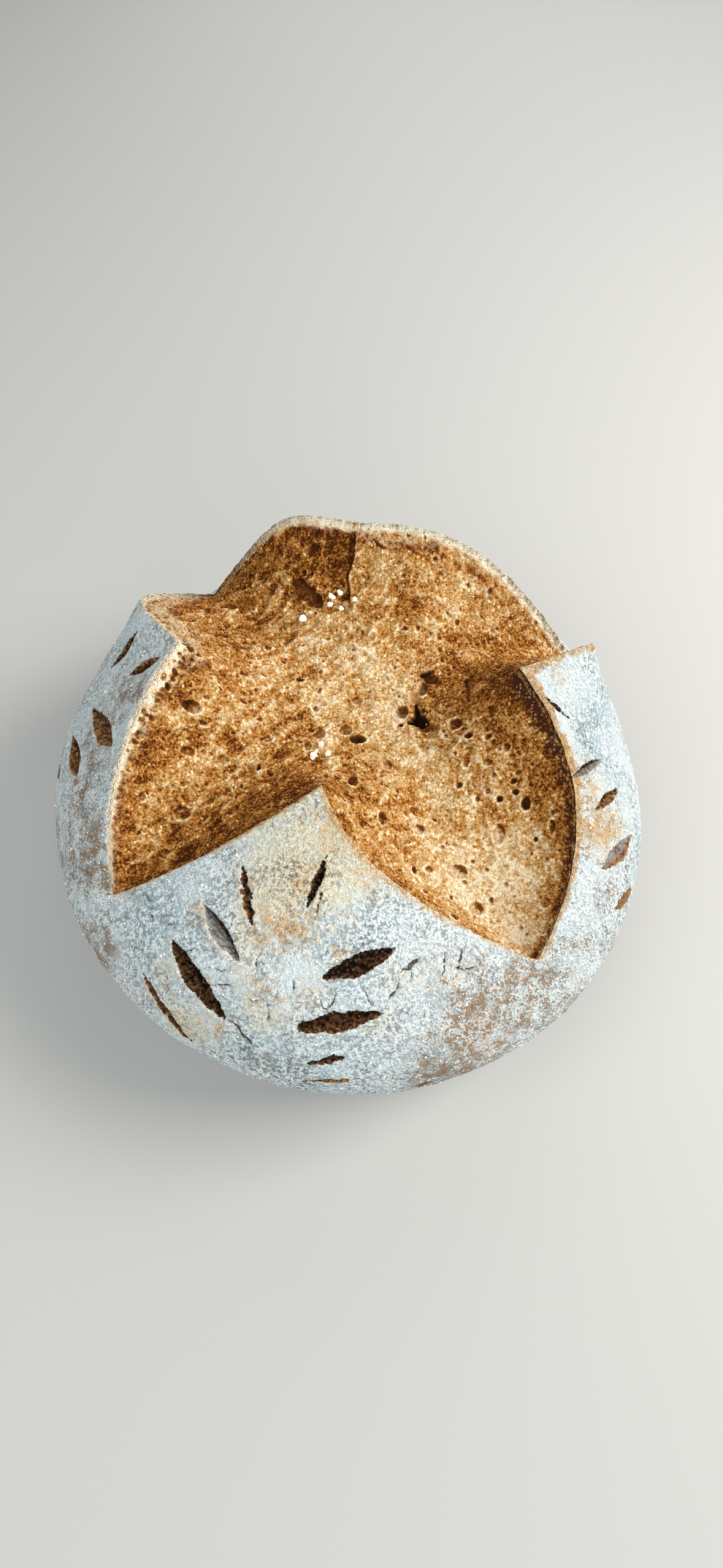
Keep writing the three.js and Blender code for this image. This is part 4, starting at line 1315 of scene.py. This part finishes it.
def crust_material():
    material, tree = new_material("crust")
    broad = mottle(tree, size=11, seed=5, contrast=1.1)
    middle = mottle(tree, size=3.2, seed=15, contrast=1.2)
    clumps = mottle(tree, size=1.5, seed=45, contrast=1.5)
    fine = mottle(tree, size=0.8, seed=25, contrast=1.4)
    powder_tone, powder = grain(tree, size=0.5, seed=35)
    peel_and_lit, rim_mark, bare_mark = mark(tree, "peel_and_lit"), mark(tree, "rim"), mark(tree, "bare")
    uneven = middle.swing(0.5) + fine.swing(0.5)
    blue = mark(tree, "blue") + broad.swing(0.7) + middle.swing(0.5) - mark(tree, "cream") * 0.8
    # Painted shade in the flour's gaps, and on the next line a painted highlight on its bright clumps, both
    # partly real
    gaps = (fine + clumps.swing(0.6)).ranged(0.5, 0.15) * mark(tree, "worn_and_shaded")
    bright = clumps + fine.swing(1.1) + middle.swing(0.5)
    colour = layered(
        mixed(blue.ranged(-0.1, 0.75), FLOUR, FLOUR_BLUE),
        (gaps.ranged(0, 1, 0, 0.9), FLOUR_GAP),
        (bright.ranged(0.45, 0.75, 0, 0.85), FLOUR_WHITE),
    )
    for name, tone, low, high in (("cream", FLOUR_CREAM, 0.15, 0.8), ("tan", CRUST_TAN, 0.25, 0.75)):
        amount = (mark(tree, name) + uneven).ranged(low, high) * mark(tree, name).ranged(0.02, 0.2)
        colour = mixed(amount, colour, tone, "MULTIPLY")
    patchy = mottle(tree, size=4.5, seed=95, contrast=1.5)
    bare = (bare_mark + patchy.swing(0.8) + clumps.swing(0.6) + fine.swing(1.2)).ranged(0.38, 0.76)
    here = mottle(tree, size=9, seed=75, contrast=1.4)
    # Crackle lines in the flour, partly painted shadow
    lines = crackle(tree, size=2.3, seed=65) * here.ranged(0.5, 0.75)
    lines = lines * clumps.ranged(0.65, 0.35) * peel_and_lit.ranged(0.5, 0)
    peeled = clumps + fine.swing(0.9)
    rim_tan = (rim_mark + uneven).ranged(0.3, 0.75, 0, 0.8) * rim_mark.ranged(0.05, 0.3)
    depth = mark(tree, "cut_dark") + clumps.swing(0.9)
    speck_tone, speck = grain(tree, size=0.85, seed=85)
    inside = layered(
        ramp(depth, [(0, CUT_TAN), (0.35, CUT_BROWN), (0.95, CUT_DARK)]),
        (mark(tree, "cut_grey") * uneven.ranged(-0.2, 0.15, 0.3, 1), CUT_GREY),
        (speck_tone.ranged(0.7, 0.8) * speck.ranged(0.2, 0.6) * 0.55, CUT_SPECK),
    )
    colour = layered(
        colour,
        (bare * bare_mark.ranged(0.05, 0.2) * 0.85, mixed(fine.ranged(0.3, 0.7), CRUST_DARK, CRUST_BROWN)),
        (lines * 0.5, FLOUR_GAP),
        # The peeled edge, partly painted highlight
        (peel_and_lit.ranged(0.1, 0.7), mixed(peeled.ranged(0.2, 0.55), PEEL_GAP, PEELED_AND_LIT)),
        (rim_tan, mixed(peeled.ranged(0.25, 0.7), RIM_BROWN, RIM_TAN)),
        (powder_tone.ranged(0.7, 0.85) * rim_mark * 0.5, RIM_PIT),
        # The lower lips of cuts, pale and partly painted highlight
        (mark(tree, "lip_pale_and_lit") * 0.8, FLOUR_CREAM),
        ((mark(tree, "cut") + fine.swing(0.5)).ranged(0, 0.25), inside),
        (mark(tree, "crack").ranged(-0.12, 0.08, 0, 0.85), CUT_DARK),
    )
    relief = bumped(fine + powder * 0.3 + clumps + middle - lines * 0.8, 0.95)
    return paint(material, colour, 0.92, 0.08, Normal=relief)


crust.data.materials.append(crust_material())
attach(crust, "root")
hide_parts("loaf")

# Loose crumbs and grains
# Bits that the knife and the oven left: a few white crumbs stuck in the opening, fine pale grains all
# over the crumb, and grains of flour on the crust.
WHITE_CRUMBS = [
    [-16.1, 53.7, 2.6], [-4.8, 59.7, 2.2], [-2.1, 60.3, 1.8], [-5.6, 57, 1.9], [-1.4, 55, 2],
    [3, 56.4, 1.9], [-8.3, 1.1, 2.8], [-11, -4.8, 2.4], [-5.5, -1.9, 2.3], [-9.2, -2.4, 2.2],
]
LUMPS = 3
LUMP_RADIUS = 0.52
WHITE_CRUMB = linear(255, 248, 232)
PALE_GRAIN = linear(238, 204, 146)
BROWN_GRAIN = linear(198, 144, 74)
FLOUR_GRAIN = linear(246, 247, 243)


def grain_material(name, tone, other):
    material, tree = new_material(name)
    return paint(material, mixed(mottle(tree, size=2, seed=55, contrast=1.4), tone, other), 0.9, 0.1)


def add_white_crumbs():
    """Torn white crumbs, each a ragged flake of a few lumps half sunk in the crumb"""
    places = np.empty(3 * len(crumb.data.vertices))
    crumb.data.vertices.foreach_get("co", places)
    skin = places.reshape(-1, 3) / MM
    draw = np.random.default_rng(31)
    form = bmesh.new()
    for x, y, size in WHITE_CRUMBS:
        near = np.hypot(skin[:, 0] - x, skin[:, 1] - y) < 1
        middle = Vector((x, y, skin[near, 2].max() + 0.15 * size))
        for _ in range(LUMPS):
            offset = Vector(draw.uniform(-0.35, 0.35, 3) * size)
            made = bmesh.ops.create_icosphere(form, subdivisions=1, radius=LUMP_RADIUS * size)
            stretch = Vector(draw.uniform(0.45, 1, 3))
            turn = Euler(draw.uniform(0, math.pi, 3)).to_matrix()
            for vertex in made["verts"]:
                lump = turn @ (vertex.co * stretch * draw.uniform(0.8, 1.25))
                vertex.co = (middle + offset + lump) * MM
    mesh = bpy.data.meshes.new("white_crumbs")
    form.to_mesh(mesh)
    form.free()
    return add_object("white_crumbs", mesh)


def scatter_tree():
    """Grains of random size, turned at random, on the faces of a mesh, denser where it is marked"""
    tree = bpy.data.node_groups.new("scatter", "GeometryNodeTree")
    kinds = {"Geometry": "Geometry", "Seed": "Int", "Material": "Material"}
    for name in ("Geometry", "Density", "Smallest", "Largest", "Flatness", "Seed", "Material"):
        kind = "NodeSocket" + kinds.get(name, "Float")
        tree.interface.new_socket(name, in_out="INPUT", socket_type=kind)
    tree.interface.new_socket("Geometry", in_out="OUTPUT", socket_type="NodeSocketGeometry")
    start = tree.nodes.new("NodeGroupInput").outputs
    finish = tree.nodes.new("NodeGroupOutput")
    kept = look(tree, "GeometryNodeInputNamedAttribute", {"Name": "grains"}, "Attribute", data_type="FLOAT")
    spread = {"Mesh": start["Geometry"], "Density": kept * start["Density"], "Seed": start["Seed"]}
    points = add_node(tree, "GeometryNodeDistributePointsOnFaces", spread).outputs
    ball = look(tree, "GeometryNodeMeshIcoSphere", {"Radius": 1.0, "Subdivisions": 1}, "Mesh")
    size = look(tree, "FunctionNodeRandomValue", {"Min": 0.0, "Max": 1.0}, 1, data_type="FLOAT")
    size = (size * size).ranged(0, 1, start["Smallest"], start["Largest"])
    scale = look(tree, "ShaderNodeCombineXYZ", {0: size, 1: size, 2: size * start["Flatness"]})
    inputs = {"Points": points["Points"], "Instance": ball, "Rotation": points["Rotation"], "Scale": scale}
    placed = look(tree, "GeometryNodeInstanceOnPoints", inputs)
    solid = look(tree, "GeometryNodeRealizeInstances", {0: placed})
    painted = look(tree, "GeometryNodeSetMaterial", {"Geometry": solid, "Material": start["Material"]})
    set_inputs(tree, finish, {"Geometry": painted})
    return tree


def scattered(name, host, values):
    """A mesh object of the grains on a host mesh, with the host itself left out"""
    carrier = add_object(name, host.data.copy())
    change = carrier.modifiers.new("scatter", "NODES")
    change.node_group = scatter_group
    for item in scatter_group.interface.items_tree:
        if item.name in values:
            change[item.identifier] = values[item.name]
    evaluated = carrier.evaluated_get(bpy.context.evaluated_depsgraph_get())
    mesh = bpy.data.meshes.new_from_object(evaluated)
    carrier.modifiers.clear()
    carrier.data = mesh
    return carrier


scatter_group = scatter_tree()
white_crumbs = add_white_crumbs()
white_crumbs.data.materials.append(grain_material("white crumb", WHITE_CRUMB, WHITE_CRUMB))
crumb_grains = scattered("crumb_grains", crumb, {
    "Density": 80000.0, "Smallest": 0.16 * MM, "Largest": 0.48 * MM, "Flatness": 0.7, "Seed": 4,
    "Material": grain_material("crumb grain", PALE_GRAIN, BROWN_GRAIN),
})
flour_grains = scattered("flour_grains", crust, {
    "Density": 90000.0, "Smallest": 0.14 * MM, "Largest": 0.4 * MM, "Flatness": 0.6, "Seed": 8,
    "Material": grain_material("flour grain", FLOUR_GRAIN, FLOUR_GRAIN),
})
for piece in (white_crumbs, crumb_grains, flour_grains):
    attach(piece, "root")
    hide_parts("loaf")

# Table and light
# A plain pale floor, a soft window light from the right, and weaker cool lights from the left, from the
# front and from behind. Each light as (name, place in metres, size, power, colour).
FLOOR_SIZE = 4.0
FLOOR_COLOUR = linear(170, 168, 164)
LIGHTS = [
    ("window", (0.75, 0.1, 0.62), 0.5, 12.8, (1.0, 0.98, 0.95)),
    ("fill", (-0.7, -0.4, 0.9), 0.9, 7.8, (0.94, 0.98, 1.0)),
    ("front", (0.2, -0.95, 0.4), 0.8, 5.4, (0.92, 0.97, 1.0)),
    ("back", (0.15, 0.9, 0.5), 0.8, 3.2, (0.96, 0.98, 1.0)),
]
LIGHTS_AIM = Vector((0, 0, 0.06))
SKY_COLOUR = (0.9, 0.96, 1.0, 1)
SKY_STRENGTH = 0.4


def make_floor():
    mesh = bpy.data.meshes.new("floor")
    corners = [(x * FLOOR_SIZE / 2, y * FLOOR_SIZE / 2, 0) for x, y in ((-1, -1), (1, -1), (1, 1), (-1, 1))]
    mesh.from_pydata(corners, [], [(0, 1, 2, 3)])
    floor = add_object("floor", mesh)
    mesh.materials.append(paint(new_material("floor")[0], FLOOR_COLOUR, 0.8, 0.5))


def add_light(name, place, size, power, colour):
    """A soft square light that faces the loaf"""
    light = bpy.data.lights.new(name, "AREA")
    light.size = size
    light.energy = power
    light.color = colour
    lamp = add_object(name, light)
    lamp.location = place
    lamp.rotation_euler = (LIGHTS_AIM - lamp.location).to_track_quat("-Z", "Y").to_euler()


make_floor()
for row in LIGHTS:
    add_light(*row)
world = bpy.data.worlds.new("room")
world.use_nodes = True
world.node_tree.nodes["Background"].inputs["Color"].default_value = SKY_COLOUR
world.node_tree.nodes["Background"].inputs["Strength"].default_value = SKY_STRENGTH
bpy.context.scene.world = world
bpy.context.scene.view_settings.view_transform = "Standard"
